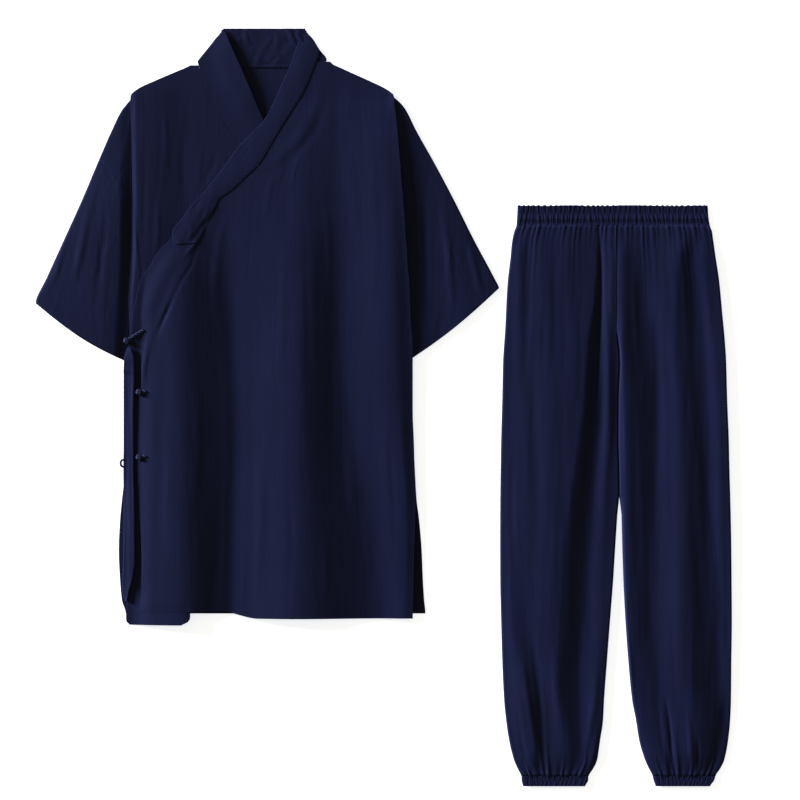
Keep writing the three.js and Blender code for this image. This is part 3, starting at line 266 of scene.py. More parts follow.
LEG_RIGHT_CREASES = [
    (3.6, -1.9, 340, 330, 345, 272, 347, 200, 346, 130, 343, 60, 338, -30),
    (7, 0.4, 366, 250, 362, 190, 364, 120),
    (10, -0.5, 232, 240, 228, 130, 224, 0),
    (10, 0.5, 262, 230, 264, 140, 262, 40),
    (10, -0.4, 286, 215, 290, 120, 288, 20),
    (10, 0.4, 304, 180, 306, 100, 300, -20),
    (9, -0.5, 206, -60, 204, -180, 208, -280),
    (9, 0.9, 218, -380, 227, -450, 241, -530, 248, -600),
    (9, -1.1, 238, -360, 245, -430, 253, -510, 260, -600),
    (6, -0.5, 212, -480, 222, -545, 232, -600),
    (9, 0.7, 340, -400, 336, -470, 326, -530, 312, -584),
]
LEG_LEFT_CREASES = [
    (11, -0.6, 434, 210, 436, 110, 440, 0, 438, -120),
    (8, -0.4, 452, 240, 456, 190, 458, 120),
    (10, 0.4, 396, 240, 400, 150, 408, 60),
    (11, 0.5, 478, 236, 484, 140, 488, 40),
    (10, -0.4, 508, 226, 512, 120, 520, 20),
    (11, 0.4, 500, -40, 504, -160, 510, -280),
    (4.5, -1.2, 449, -455, 455, -500, 459, -545, 462, -600),
    (7, 0.8, 441, -455, 449, -525, 454, -600),
    (12, -0.5, 536, -400, 537, -490, 529, -560, 512, -610),
    (7, 0.8, 484, -480, 490, -545, 492, -586),
    (5, -0.8, 500, -520, 502, -560, 500, -588),
]
SLEEVE_RIGHT_CREASES = [
    (10, 0.9, -470, 330, -484, 250, -498, 190),
    (9, -0.7, -440, 330, -452, 230, -462, 150),
    (8, 0.7, -505, 280, -522, 220, -536, 185),
]
SLEEVE_LEFT_CREASES = [
    (10, -1.0, 64, 350, 66, 250, 68, 120),
    (10, 0.9, 92, 330, 104, 240, 110, 140),
    (6, -0.8, 40, 420, 44, 340, 46, 290),
    (9, 0.8, 130, 280, 146, 220, 158, 170),
]

# Gathers drawn in by the elastic: count, height, shortest and longest reach
WAIST_GATHERS = (38, 1.35, 14, 50)
ANKLE_GATHERS = (11, 1.8, 10, 40)
GATHER_PACE = (2.4, 1.9, 2.7)  # how fast their places, heights and reaches vary
UNEVEN = 0.28  # how far a dip strays, over the width of a gather
LEAST = 0.44  # height of the lowest gather over that of the highest

KNOTS = [(-411, 106, -384, 123), (-391, 24, -380, 25.5), (-391, -80, -381, -78.5)]  # x, y, sewn end x and y
KNOT_RADIUS = 5.2
KNOT_WRAP = 1.5  # radius of the cord that the balls are knotted from
KNOT_WEAVE = 0.42  # how far that cord goes over and under itself
KNOT_CORE = 3.9  # radius of the filling inside
KNOT_SINK = 2.8  # how far a ball lies below the middle of its solid
KNOT_SQUAT = 0.76  # height of a ball over its width
TAIL_CORD = 1.35  # radius of one of the two strands behind a knot
TAIL_TWIST = 13  # length of one turn of the strands
TAIL_SIDE, TAIL_RISE = 1.5, 0.8  # how far each strand swings aside and up
LOOP_CORD, LOOP_LEVEL = 1.75, 3.0
KNOT_LOOP = [(-415, -84), (-419.4, -85.4), (-421, -90), (-419.4, -94.6), (-415, -96)]


def smoothstep(low, high, x):
    """0 below low and 1 above high, with a soft rise between; it falls where low is above high."""
    t = np.clip((x - low) / (high - low), 0, 1)
    return t * t * (3 - 2 * t)


def smooth_run(keys, values, at):
    """A smooth line through values at rising keys along the first axis, that never passes beyond them."""
    step = np.diff(keys, axis=0)
    slope = np.diff(values, axis=0) / step
    product = slope[:-1] * slope[1:]
    both = np.where(product > 0, slope[:-1] + slope[1:], 1)
    tangent = np.zeros_like(values, float)
    tangent[1:-1] = np.where(product > 0, 2 * product / both, 0)
    i = np.clip((keys[1:-1] <= at).sum(axis=0), 0, len(step) - 1)
    take = lambda table, index: np.take_along_axis(table, index[None], axis=0)[0]
    width = take(step, i)
    t = np.clip((at - take(keys, i)) / width, 0, 1)
    a, b = take(values, i), take(values, i + 1)
    m, n = take(tangent, i) * width, take(tangent, i + 1) * width
    return a + t * t * (3 - 2 * t) * (b - a) + t * (1 - t) * ((1 - t) * m - t * n)


def smooth_line(keys, values, at):
    """The same for one list of each."""
    at = np.asarray(at, float)
    keys, values = (np.multiply.outer(np.array(line, float), np.ones(at.shape)) for line in (keys, values))
    return smooth_run(keys, values, at)


def column(table, k, y):
    """Column k of a table whose first column falls, at each y, as a smooth line."""
    return smooth_line([row[0] for row in reversed(table)], [row[k] for row in reversed(table)], y)


def both_sides(outline, y):
    """Left and right side of an outline at y."""
    return column(outline, 1, y), column(outline, 2, y)


def folds(table, x, y):
    """Height of the long folds in a table."""
    stations = range(len(table[0][1]))
    places = np.stack([column([(row[0], row[1][k]) for row in table], 1, y) for k in stations])
    heights = np.stack([column([(row[0], row[2][k]) for row in table], 1, y) for k in stations])
    return smooth_run(places, heights, np.broadcast_to(x, np.shape(places[0])))


def creases(table, x, y):
    """Height of creases along bent paths, each one soft across and fading out at both ends."""
    total = np.zeros(np.broadcast(x, y).shape)
    for half, height, *path in table:
        path = np.reshape(path, (-1, 2))
        nearest = np.full(total.shape, np.inf)
        along = np.zeros(total.shape)
        for i in range(len(path) - 1):
            (ax, ay), (bx, by) = path[i], path[i + 1]
            along_piece = (x - ax) * (bx - ax) + (y - ay) * (by - ay)
            t = np.clip(along_piece / ((bx - ax) ** 2 + (by - ay) ** 2), 0, 1)
            distance = np.hypot(x - ax - t * (bx - ax), y - ay - t * (by - ay))
            closer = distance < nearest
            nearest = np.where(closer, distance, nearest)
            along = np.where(closer, (i + t) / (len(path) - 1), along)
        reach = np.clip(nearest / half, 0, 1)
        total += height * np.cos(np.pi / 2 * reach) ** 2 * np.sin(np.pi * along) ** 1.2
    return total


def crinkle(seed, box, count, length, width, depth, lean=0.1):
    """A seeded field of fine upright wrinkles in a box, as a function of x and y."""
    rng = np.random.default_rng(seed)
    x0, x1, y0, y1 = box
    wrinkles = list(zip(rng.uniform(x0, x1, count), rng.uniform(y0, y1, count),
                        rng.uniform(*length, count), rng.uniform(*width, count),
                        rng.uniform(*depth, count) * rng.choice([-1, 1], count), rng.normal(0, lean, count)))

    def height(x, y):
        total = np.zeros(np.broadcast(x, y).shape)
        for cx, cy, long, wide, deep, tilt in wrinkles:
            across = (x - cx) + tilt * (y - cy)
            total += deep * np.exp(-((across / wide) ** 2) - ((y - cy) / long) ** 2)
        return total

    return height


def gather_dips(count):
    """Places of the dips between gathers, from 0 to 1."""
    i = np.arange(count + 1)
    inside = (i > 0) & (i < count)
    return i / count + np.where(inside, UNEVEN / count * np.sin(GATHER_PACE[0] * i), 0)


def gather_height(gathers, t, depth):
    """Height of the gathers at a share across, and at a depth below the line where they are drawn in."""
    count, height, shortest, longest = gathers
    dips = gather_dips(count)
    t = np.clip(t, 0, 1)
    i = np.clip(np.searchsorted(dips, t, side="right") - 1, 0, count - 1)
    within = (t - dips[i]) / (dips[i + 1] - dips[i])
    share = LEAST + (1 - LEAST) * np.sin(GATHER_PACE[1] * i) ** 2
    reach = shortest + (longest - shortest) * np.sin(GATHER_PACE[2] * i) ** 4
    return height * share * np.sin(np.pi * within) ** 2 * np.exp(-depth / reach)


# Heights of each layer's upper side
def back_top(x, y):
    return BACK_LEVEL + 0 * (x + y)


under_wrinkles = crinkle(11, (-410, -230, 100, 540), 90, (20, 70), (2.2, 5), (0.03, 0.09))
front_wrinkles = crinkle(12, (-400, 40, -340, 540), 330, (18, 70), (2.2, 5.5), (0.02, 0.09))
front_waves = crinkle(13, (-380, 30, -340, 480), 60, (60, 160), (8, 16), (0.1, 0.32), 0.06)


def under_rest(x, y):
    """The under front where nothing presses on it."""
    return CLOTH + folds(UNDER_FOLDS, x, y) + creases(UNDER_CREASES, x, y) + under_wrinkles(x, y)


def over_free(x, y):
    """The over front where nothing lies below it."""
    relief = creases(FRONT_CREASES, x, y) + front_wrinkles(x, y) + front_waves(x, y)
    return CLOTH + RELIEF * folds(FRONT_FOLDS, x, y) + relief


def under_front(x, y):
    """The under front, close below the over front's folds at the hem."""
    rest = under_rest(x, y)
    return rest + (over_free(x, y) - SHEET - UNDER_GAP - rest) * smoothstep(-285, -318, y)


def over_front(x, y):
    """The over front, clear of the under front wherever that lies below it."""
    free = over_free(x, y)
    edge = column(FRONT_UNDER, 2, y)
    lapped = smoothstep(edge + 18, edge + 2, x)
    at_edge = smoothstep(-374, -389, x) * smoothstep(-268, -300, y)
    at_hem = smoothstep(-305, -318, x) * smoothstep(-312, -327, y)
    lift = np.maximum(0, under_rest(x, y) + SHEET + OVER_GAP - free) * lapped
    return free + lift - FLUSH * np.maximum(at_edge, at_hem)


def sleeve_rows(over_arm, side, inward, cuff_foot, count):
    """End points of the rows of a sleeve, from the armhole to the cuff; side is its column in BODY_SIDE."""
    w = np.linspace(0, 1, count)
    over_y = ARMHOLE_TOP + (over_arm[-1][0] - ARMHOLE_TOP) * w
    under_y = ARMHOLE_FOOT + (cuff_foot - ARMHOLE_FOOT) * w
    over = np.stack([column(over_arm, 1, over_y), over_y], axis=1)
    under = np.stack([column(BODY_SIDE, side, under_y) + inward * SLEEVE_TUCK, under_y], axis=1)
    return over, under


sleeve_right_wrinkles = crinkle(21, (-550, -405, 90, 490), 70, (20, 70), (2.4, 5.5), (0.04, 0.16), 0.3)
sleeve_left_wrinkles = crinkle(22, (20, 180, 90, 490), 70, (20, 70), (2.4, 5.5), (0.04, 0.16), 0.3)


def sleeve_right_top(x, y, t, w):
    """Highest along the middle of the arm, and falling steeply to where it meets the body."""
    clear = column(BODY_SIDE, 1, y) - x
    high = 2.4 + 3.6 * smoothstep(430, 290, y)
    crown = high * (1 - 0.5 * np.clip(clear / 150, 0, 1)) * smoothstep(-4, 20, clear)
    crown = crown * np.sin(np.pi * np.clip(t, 0, 1)) ** 0.4
    return TUBE_FOLD + crown + creases(SLEEVE_RIGHT_CREASES, x, y) + sleeve_right_wrinkles(x, y)


def sleeve_left_top(x, y, t, w):
    """Low beside the raised edge of the body, and low over the rest of the arm."""
    clear = x - column(BODY_SIDE, 2, y)
    middle = 2.8 * smoothstep(34, 90, clear) * np.sin(np.pi * np.clip(t, 0, 1)) ** 0.6 * (1 - 0.4 * w)
    beside = 3.2 * np.exp(-np.maximum(clear, 0) / 17)
    return TUBE_FOLD + beside + middle + creases(SLEEVE_LEFT_CREASES, x, y) + sleeve_left_wrinkles(x, y)


def waist_share(x, y):
    """Share across both legs together, from 0 to 1."""
    left, right = column(LEG_RIGHT, 1, y), column(LEG_LEFT, 2, y)
    return (x - left) / (right - left)


leg_right_wrinkles = crinkle(31, (190, 372, -580, 280), 170, (22, 90), (2.2, 5.5), (0.03, 0.11), 0.06)
leg_left_wrinkles = crinkle(32, (372, 552, -580, 280), 170, (22, 90), (2.2, 5.5), (0.03, 0.11), 0.06)
leg_right_waves = crinkle(33, (196, 366, -540, 220), 36, (70, 200), (6, 13), (0.12, 0.42), 0.05)
leg_left_waves = crinkle(34, (380, 548, -540, 220), 36, (70, 200), (6, 13), (0.12, 0.42), 0.05)


def leg_top(outline, table, crease_table, wrinkles, waves, inward):
    """Upper side of a leg, for tube; inward is +1 or -1, towards the centre seam."""

    def height(x, y, t, w):
        below_waist = np.maximum(0, WAIST_FOOT - y)
        at_waist = gather_height(WAIST_GATHERS, waist_share(x, y), below_waist)
        left, right = both_sides(outline, y)
        at_ankle = gather_height(ANKLE_GATHERS, (x - left) / (right - left), np.maximum(0, y - ANKLE_TOP))
        free = RELIEF * folds(table, x, y) + creases(crease_table, x, y) + wrinkles(x, y) + waves(x, y)
        beyond = smoothstep(0, SEAM_HALF, inward * (x - CENTRE_SEAM))
        seam = SEAM_DIP * np.exp(-((x - CENTRE_SEAM) / SEAM_HALF) ** 2) + SEAM_STEP * beyond
        free = free - seam * smoothstep(*CROTCH, y) - np.exp(-below_waist / 7)
        return CLOTH + np.maximum(free, 1.2) + at_waist + at_ankle

    return height


leg_right_top = leg_top(LEG_RIGHT, LEG_RIGHT_FOLDS, LEG_RIGHT_CREASES,
                        leg_right_wrinkles, leg_right_waves, 1)
leg_left_top = leg_top(LEG_LEFT, LEG_LEFT_FOLDS, LEG_LEFT_CREASES,
                       leg_left_wrinkles, leg_left_waves, -1)


# Meshes
def make_object(name, points, faces, uv=None, smooth=True):
    """An object from points in millimetres, with its weave coordinates in metres as its UV map."""
    mesh = bpy.data.meshes.new(name)
    mesh.from_pydata((np.asarray(points) * MM).tolist(), [], [list(map(int, face)) for face in faces])
    mesh.update()
    if smooth:
        mesh.shade_smooth()
    layer = mesh.uv_layers.new(name="weave")
    uv = np.asarray(points)[:, :2] * MM if uv is None else np.asarray(uv) * MM
    corners = np.zeros(len(mesh.loops), int)
    mesh.loops.foreach_get("vertex_index", corners)
    layer.data.foreach_set("uv", uv[corners].astype(np.float32).ravel())
    made = bpy.data.objects.new(name, mesh)
    bpy.context.scene.collection.objects.link(made)
    return made


def grid_faces(rows, columns, closed=False):
    """Faces of a grid of points, turned up where x rises along a row and y falls from row to row."""
    faces = []
    for r in range(rows - 1):
        for c in range(columns if closed else columns - 1):
            n = (c + 1) % columns
            faces.append((r * columns + c, (r + 1) * columns + c, (r + 1) * columns + n, r * columns + n))
    return faces


def panel(name, x, y, height, uv=None, turn=9, lip=LIP):
    """A sheet of cloth over a grid of places, with its edges turned under all round past a narrow lip."""
    z = height(x, y)
    rows, columns = x.shape
    points = np.stack([x, y, z], axis=2).reshape(-1, 3)
    faces = grid_faces(rows, columns)
    index = np.arange(rows * columns).reshape(rows, columns)
    loop = np.concatenate([index[0], index[1:, -1], index[-1, -2::-1], index[-2:0:-1, 0]])
    edge = points[loop]
    tangent = np.roll(edge, -1, axis=0)[:, :2] - np.roll(edge, 1, axis=0)[:, :2]
    tangent /= np.maximum(np.linalg.norm(tangent, axis=1, keepdims=True), 1e-6)
    outward = np.stack([-tangent[:, 1], tangent[:, 0]], axis=1)
    rings = [(lip, -0.3), (lip - 0.1, -SHEET), (-turn, None)]
    start = len(points)
    made = [points]
    for out, drop in rings:
        ring = edge.copy()
        ring[:, :2] += outward * out
        if drop is None:
            ring[:, 2] = height(ring[:, 0], ring[:, 1]) - SHEET
        else:
            ring[:, 2] += drop
        made.append(ring)
    count = len(loop)
    for k in range(count):
        n = (k + 1) % count
        faces.append((loop[k], loop[n], start + n, start + k))
        for s in range(len(rings) - 1):
            low, high = start + s * count, start + (s + 1) * count
            faces.append((low + k, low + n, high + n, high + k))
    if uv is not None:
        uv = np.concatenate([uv.reshape(-1, 2)] + [uv.reshape(-1, 2)[loop]] * len(rings))
    return make_object(name, np.concatenate(made), faces, uv)


def edged(count, size):
    """Even shares from 0 to 1 across a size, with one more half a millimetre inside each edge."""
    margin = 0.5 / size
    return np.concatenate([[0], np.linspace(margin, 1 - margin, count - 2), [1]])


def outline_grid(outline, across, down, hem=None):
    """Places over an outline, across by down, in level rows apart from a hem that may hang lower."""
    y = outline[0][0] + (outline[-1][0] - outline[0][0]) * edged(down, outline[0][0] - outline[-1][0])
    left, right = both_sides(outline, y)
    t = edged(across, np.median(right - left))
    x = left[:, None] + (right - left)[:, None] * t
    y = np.repeat(y[:, None], across, axis=1)
    if hem is not None:
        start, end, depth = hem
        near = smoothstep(outline[-1][0] + 60, outline[-1][0], y)
        y = y - depth * near * smoothstep(start, end, x)
    return x, y


def tube(name, near, far, top, across, round_far=None, bow=0):
    """A flattened tube between rows of end points: flat below, round at its folds, and lined inside.

    round_far says how far each row's far side is rounded, and bow how far the last row bends down."""
    rows = len(near)
    s = np.linspace(0, 1, across)
    t = 0.6 * s + 0.4 * (0.5 - 0.5 * np.cos(np.pi * s))
    x = near[:, :1] + (far - near)[:, :1] * t
    y = near[:, 1:] + (far - near)[:, 1:] * t
    width = np.linalg.norm(far - near, axis=1)[:, None]
    w = np.repeat(np.linspace(0, 1, rows)[:, None], across, axis=1)
    y = y - bow * np.sin(np.pi * t) * w ** 3
    z = top(x, y, np.broadcast_to(t, x.shape), w)
    rounded = lambda distance: np.sqrt(1 - (1 - np.clip(distance / FOLD_RADIUS, 0, 1)) ** 2)
    far_side = np.ones((rows, 1)) if round_far is None else round_far[:, None]
    middle = TUBE_FOLD / 2
    fall = rounded(t * width) * (1 - far_side * (1 - rounded((1 - t) * width)))
    upper = middle + (z - middle) * fall
    below = np.linspace(1, 0, LOWER_COLUMNS + 2)[1:-1]
    lx = near[:, :1] + (far - near)[:, :1] * below
    ly = near[:, 1:] + (far - near)[:, 1:] * below - bow * np.sin(np.pi * below) * w[:, :1] ** 3
    lower = middle - (middle - 0.2) * np.minimum(rounded(below * width), rounded((1 - below) * width))
    ring = np.concatenate([np.stack([x, y, upper], axis=2), np.stack([lx, ly, lower], axis=2)], axis=1)
    inner = ring.copy()
    off = ring[:, :, 2] - middle
    inner[:, :, 2] = middle + np.sign(off) * np.maximum(np.abs(off) - SHEET, 0.05)
    lining = np.concatenate([inner[-1:], inner[-2:1:-6], inner[1:2], inner[:1]])
    stack = np.concatenate([ring, lining])
    total, columns = stack.shape[0], stack.shape[1]
    faces = grid_faces(total, columns, closed=True)
    for c in range(columns):
        n = (c + 1) % columns
        faces.append(((total - 1) * columns + c, c, n, (total - 1) * columns + n))
    return make_object(name, stack.reshape(-1, 3), faces)


def level_ends(outline, rows):
    """Left and right end points of level rows down an outline."""
    y = np.linspace(outline[0][0], outline[-1][0], rows)
    return [np.stack([x, y], axis=1) for x in both_sides(outline, y)]


def band_grid(table, across, along):
    """Places and heights over a neckband, along it and from its inner to its outer edge."""
    table = np.array(table, float)
    run = np.concatenate([[0], np.cumsum(np.linalg.norm(np.diff(table[:, :2], axis=0), axis=1))])
    at = run[-1] * edged(along, run[-1])
    line = lambda k: smooth_line(run, table[:, k], at)
    t = edged(across, 40)
    mix = lambda a, b: line(a)[:, None] * (1 - t) + line(b)[:, None] * t
    return mix(0, 2), mix(1, 3), mix(4, 5), at, t


def sweep(path, radius, sides=8, closed=False):
    """Points and faces of a round cord along a path."""
    path = np.asarray(path, float)
    tangent = np.roll(path, -1, axis=0) - np.roll(path, 1, axis=0)
    if not closed:
        tangent[0], tangent[-1] = path[1] - path[0], path[-1] - path[-2]
    tangent /= np.linalg.norm(tangent, axis=1, keepdims=True)
    side = np.cross(tangent, (0.13, 0.21, 0.97))  # a direction that no cord follows
    side /= np.linalg.norm(side, axis=1, keepdims=True)
    up = np.cross(side, tangent)
    turn = np.linspace(0, 2 * np.pi, sides, endpoint=False)
    ring = np.cos(turn)[:, None] * side[:, None] + np.sin(turn)[:, None] * up[:, None]
    points = path[:, None] + radius * ring
    count = len(path)
    faces = []
    for r in range(count if closed else count - 1):
        for c in range(sides):
            n, f = (c + 1) % sides, (r + 1) % count
            faces.append((r * sides + c, r * sides + n, f * sides + n, f * sides + c))
    if not closed:
        faces += [tuple(range(sides))[::-1], tuple((count - 1) * sides + c for c in range(sides))]
    return points.reshape(-1, 3), faces


def join(parts):
    """One list of points and faces from several."""
    points, faces, start = [], [], 0
    for part_points, part_faces in parts:
        points.append(part_points)
        faces += [tuple(i + start for i in face) for face in part_faces]
        start += len(part_points)
    return np.concatenate(points), faces


def resample(path, spacing):
    """Places at even spacing along a path."""
    path = np.asarray(path, float)
    run = np.concatenate([[0], np.cumsum(np.linalg.norm(np.diff(path, axis=0), axis=1))])
    at = np.arange(spacing / 2, run[-1], spacing)
    return np.stack([np.interp(at, run, path[:, k]) for k in range(2)], axis=1)


def stitches(lines, pitch=3.1, long=2.2, radius=0.22):
    """Rows of small raised stitches along lines, each with the height of the cloth that it holds."""
    parts = []
    for path, height in lines:
        centre = resample(path, pitch)
        along = np.gradient(centre, axis=0)
        along /= np.linalg.norm(along, axis=1, keepdims=True)
        ends = [centre - along * long / 2, centre + along * long / 2]
        levels = [height(end[:, 0], end[:, 1]) for end in ends]
        middle = height(centre[:, 0], centre[:, 1])
        side = np.stack([-along[:, 1], along[:, 0]], axis=1) * radius
        a = np.column_stack([ends[0], levels[0] - 0.05])
        b = np.column_stack([ends[1], levels[1] - 0.05])
        left = np.column_stack([centre + side, middle + 0.05])
        right = np.column_stack([centre - side, middle + 0.05])
        crown = np.column_stack([centre, middle + radius * 1.5])
        points = np.stack([a, left, crown, right, b], axis=1).reshape(-1, 3)
        faces = []
        for k in range(len(centre)):
            p = 5 * k
            faces += [(p, p + 2, p + 1), (p, p + 3, p + 2), (p + 4, p + 1, p + 2), (p + 4, p + 2, p + 3)]
        parts.append((points, faces))
    return join(parts)


# Materials
def socket(node, name, value):
    node.inputs[name].default_value = value


SPECULAR = 0.042
SHEEN, SHEEN_ROUGHNESS, SHEEN_TINT = 0.02, 0.45, (0.4, 0.45, 1.0, 1)
BUMP_DEPTH = 0.0006


def cloth_material(name, dark, light, slub_strength, roughness):
    """Plain woven cloth: fine upright slubs, a faint weave, uneven dye and a soft sheen."""
    material = bpy.data.materials.new(name)
    material.use_nodes = True
    tree = material.node_tree
    nodes, links = tree.nodes, tree.links
    shader = nodes["Principled BSDF"]
    uv = nodes.new("ShaderNodeUVMap")
    uv.uv_map = "weave"

    def texture(kind, scale, **settings):
        mapping, node = nodes.new("ShaderNodeMapping"), nodes.new("ShaderNodeTex" + kind)
        socket(mapping, "Scale", scale)
        socket(node, "Scale", 1.0)
        for setting, value in settings.items():
            socket(node, setting, value)
        links.new(uv.outputs["UV"], mapping.inputs["Vector"])
        links.new(mapping.outputs["Vector"], node.inputs["Vector"])
        return node.outputs["Fac"]

    def noise(scale, detail, rough):
        return texture("Noise", scale, Detail=detail, Roughness=rough)

    def wave(scale, direction):
        value = texture("Wave", scale, Distortion=1.2, Detail=1.0)
        value.node.bands_direction = direction
        return value

    def math_node(kind, a, b):
        node = nodes.new("ShaderNodeMath")
        node.operation = kind
        for k, value in enumerate((a, b)):
            if isinstance(value, (int, float)):
                node.inputs[k].default_value = value
            else:
                links.new(value, node.inputs[k])
        return node.outputs["Value"]

    slubs = noise((520, 26, 1), 3, 0.6)
    long_slubs = noise((190, 7, 1), 2, 0.5)
    dye = noise((9, 6, 1), 3, 0.5)
    warp = wave((150, 4, 1), "X")
    weft = wave((4, 150, 1), "Y")
    ramp = nodes.new("ShaderNodeValToRGB")
    ramp.color_ramp.elements[0].position, ramp.color_ramp.elements[1].position = 0.3, 0.7
    ramp.color_ramp.elements[0].color = (*dark, 1)
    ramp.color_ramp.elements[1].color = (*light, 1)
    tone = math_node("ADD", math_node("MULTIPLY", slubs, 0.45), math_node("MULTIPLY", dye, 0.55))
    links.new(tone, ramp.inputs["Fac"])
    links.new(ramp.outputs["Color"], shader.inputs["Base Color"])
    weave = math_node("MULTIPLY", math_node("MAXIMUM", warp, weft), 0.25)
    relief = math_node("ADD", math_node("ADD", slubs, math_node("MULTIPLY", long_slubs, 0.8)), weave)
    bump = nodes.new("ShaderNodeBump")
    socket(bump, "Strength", slub_strength)
    socket(bump, "Distance", BUMP_DEPTH)
    links.new(relief, bump.inputs["Height"])
    links.new(bump.outputs["Normal"], shader.inputs["Normal"])
    rough = math_node("ADD", math_node("MULTIPLY", slubs, 0.16), roughness - 0.08)
    links.new(rough, shader.inputs["Roughness"])
    socket(shader, "Specular IOR Level", SPECULAR)
    socket(shader, "Sheen Weight", SHEEN)
    socket(shader, "Sheen Roughness", SHEEN_ROUGHNESS)
    socket(shader, "Sheen Tint", SHEEN_TINT)
    return material


cotton = cloth_material("navy_cotton", (0.0043, 0.0062, 0.0280), (0.0061, 0.0086, 0.0374), 0.22, 0.74)
# The cord's colours are lighter than the cloth's: painted highlight on the knot balls, their tails and the loop.
cord_cotton_painted_highlight = cloth_material("navy_cord", (0.0110, 0.0140, 0.0440), (0.0180, 0.0220, 0.0640), 0.3, 0.6)
thread = cloth_material("navy_thread", (0.0062, 0.0080, 0.0290), (0.0090, 0.0115, 0.0390), 0.2, 0.6)


def finish_piece(piece, nodes, material):
    """Give a piece its material, hang it under the root body, and hide the solids that it stands for."""
    piece.data.materials.append(material)
    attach(piece, "root")
    if nodes:
        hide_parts(*nodes)


def cloth(piece, nodes):
    """Finish a piece of the cloth."""
    finish_piece(piece, nodes, cotton)


def cord(name, points, faces, node):
    """A piece of cord, in colours lightened to paint in the highlights on the knots."""
    finish_piece(make_object(name, points, faces), [node], cord_cotton_painted_highlight)


# The top
x, y = outline_grid(BACK, 150, 180)
cloth(panel("back_cloth", x, y, back_top), ["back"])

neck_wrinkles = crinkle(41, (-270, -110, 545, 605), 60, (6, 18), (3, 8), (0.15, 0.6), 0.6)


def neck_back_top(x, y):
    """The back of the neckband, pressed down along its seam."""
    seam = SEAM_DIP * np.exp(-((y - NECK_SEAM) / SEAM_HALF) ** 2)
    return NECK_LEVEL + np.abs(neck_wrinkles(x, y)) * smoothstep(-262, -240, x) - seam


x, y = outline_grid(NECKBAND_BACK, 90, 36)
cloth(panel("neckband_back_cloth", x, y, neck_back_top, turn=4), ["neckband_back"])

over, under = sleeve_rows(OVER_ARM_RIGHT, 1, 1, CUFF_FOOT_RIGHT, 110)
cloth(tube("sleeve_right_cloth", over, under, sleeve_right_top, 110, bow=9), ["sleeve_right"])
over, under = sleeve_rows(OVER_ARM_LEFT, 2, -1, CUFF_FOOT_LEFT, 110)
cloth(tube("sleeve_left_cloth", under, over, sleeve_left_top, 110, bow=6), ["sleeve_left"])

x, y = outline_grid(FRONT_UNDER, 90, 200)
cloth(panel("front_right_cloth", x, y, under_front), ["front_right_under"])
x, y = outline_grid(FRONT_OVER, 215, 190, HEM_DROP)
cloth(panel("front_left_cloth", x, y, over_front, lip=TUCKED), ["front_left_over"])

x, y, level, at, t = band_grid(NECKBAND_UNDER, 22, 80)
under_seat = under_front(x, y)
under_puff = np.maximum(level + CLOTH - under_seat, 0.25 + 0.4 * np.sin(np.pi * t))
under_level = under_seat + under_puff * (1 - smoothstep(0.3, 1, t)) - 0.06 * smoothstep(0.8, 1, t)


def nearest_level(grid_x, grid_y, grid_z):
    """Height of a neckband: its grid's own at the grid's places, and the nearest one's elsewhere."""
    places = np.column_stack([grid_x.ravel(), grid_y.ravel()])

    def height(x, y):
        if np.shape(x) == grid_x.shape:
            return grid_z
        found = [np.argmin(((places - place) ** 2).sum(axis=1)) for place in zip(np.ravel(x), np.ravel(y))]
        return grid_z.ravel()[found].reshape(np.shape(x))

    return height


def band_uv(at, t, wide=40):
    """Weave coordinates along and across a neckband."""
    along, across = np.meshgrid(at, t * wide, indexing="ij")
    return np.stack([across, along], axis=2)


x, y, under_level = x[:, ::-1], y[:, ::-1], under_level[:, ::-1]  # so that its faces look up
cloth(panel("neckband_right_cloth", x, y, nearest_level(x, y, under_level), band_uv(at, t)[:, ::-1], turn=5),
      ["neckband_under"])

over_x, over_y, level, over_at, over_t = band_grid(NECKBAND_OVER, 24, 150)
over_level = over_front(over_x, over_y) + 0.55 + 0.55 * np.sin(np.pi * over_t) ** 0.6
band_wrinkles = crinkle(42, (-340, -270, 262, 345), 26, (6, 16), (3, 6), (0.2, 0.6), 0.6)
over_level = over_level - 0.5 * (1 - smoothstep(0, 0.4, over_t)) * smoothstep(500, 548, over_y)
over_level = over_level + band_wrinkles(over_x, over_y) * smoothstep(345, 320, over_y)
over_band_top = nearest_level(over_x, over_y, over_level)
cloth(panel("neckband_left_cloth", over_x, over_y, over_band_top, band_uv(over_at, over_t), turn=5, lip=TUCKED),
      ["neckband_over"])

strip_wrinkles = crinkle(43, (-416, -396, -310, 94), 30, (20, 60), (2, 4), (0.1, 0.3), 0.03)


def strip_top(x, y):
    """The side strip, rising to its right edge, over the sleeve's foot and then the under front."""
    left, right = both_sides(SIDE_STRIP, y)
    t = np.clip((x - left) / (right - left), 0, 1)
    seat = np.where(y > 54, TUBE_FOLD + 0.6, 0)
    tilt = 0.5 * np.sqrt(np.minimum(t / 0.08, 1)) + 2 * t
    tilt = tilt * np.sqrt(1 - np.clip((t - 0.93) / 0.075, 0, 1) ** 2)
    roll = 0.9 * np.exp(-((t - 0.8) / 0.1) ** 2) * np.exp(-((y - 10) / 60) ** 2)
    bed = np.maximum(under_front(x, y) + STRIP_LAP, seat)
    return bed + CLOTH + tilt + roll + strip_wrinkles(x, y)


x, y = outline_grid(SIDE_STRIP, 22, 130)
cloth(panel("side_strip_cloth", x, y, strip_top, turn=3), ["side_strip"])

# The trousers
near, far = level_ends(LEG_RIGHT, 180)
apart = smoothstep(122, 108, near[:, 1])  # the legs' inner folds are round only below the crotch
cloth(tube("leg_right_cloth", near, far, leg_right_top, 112, apart), ["leg_front_right", "leg_back_right"])
inner, outer = level_ends(LEG_LEFT, 180)
leg = tube("leg_left_cloth", outer, inner, leg_left_top, 112, apart)
leg.data.flip_normals()  # it was made from its outer side
cloth(leg, ["leg_front_left", "leg_back_left"])


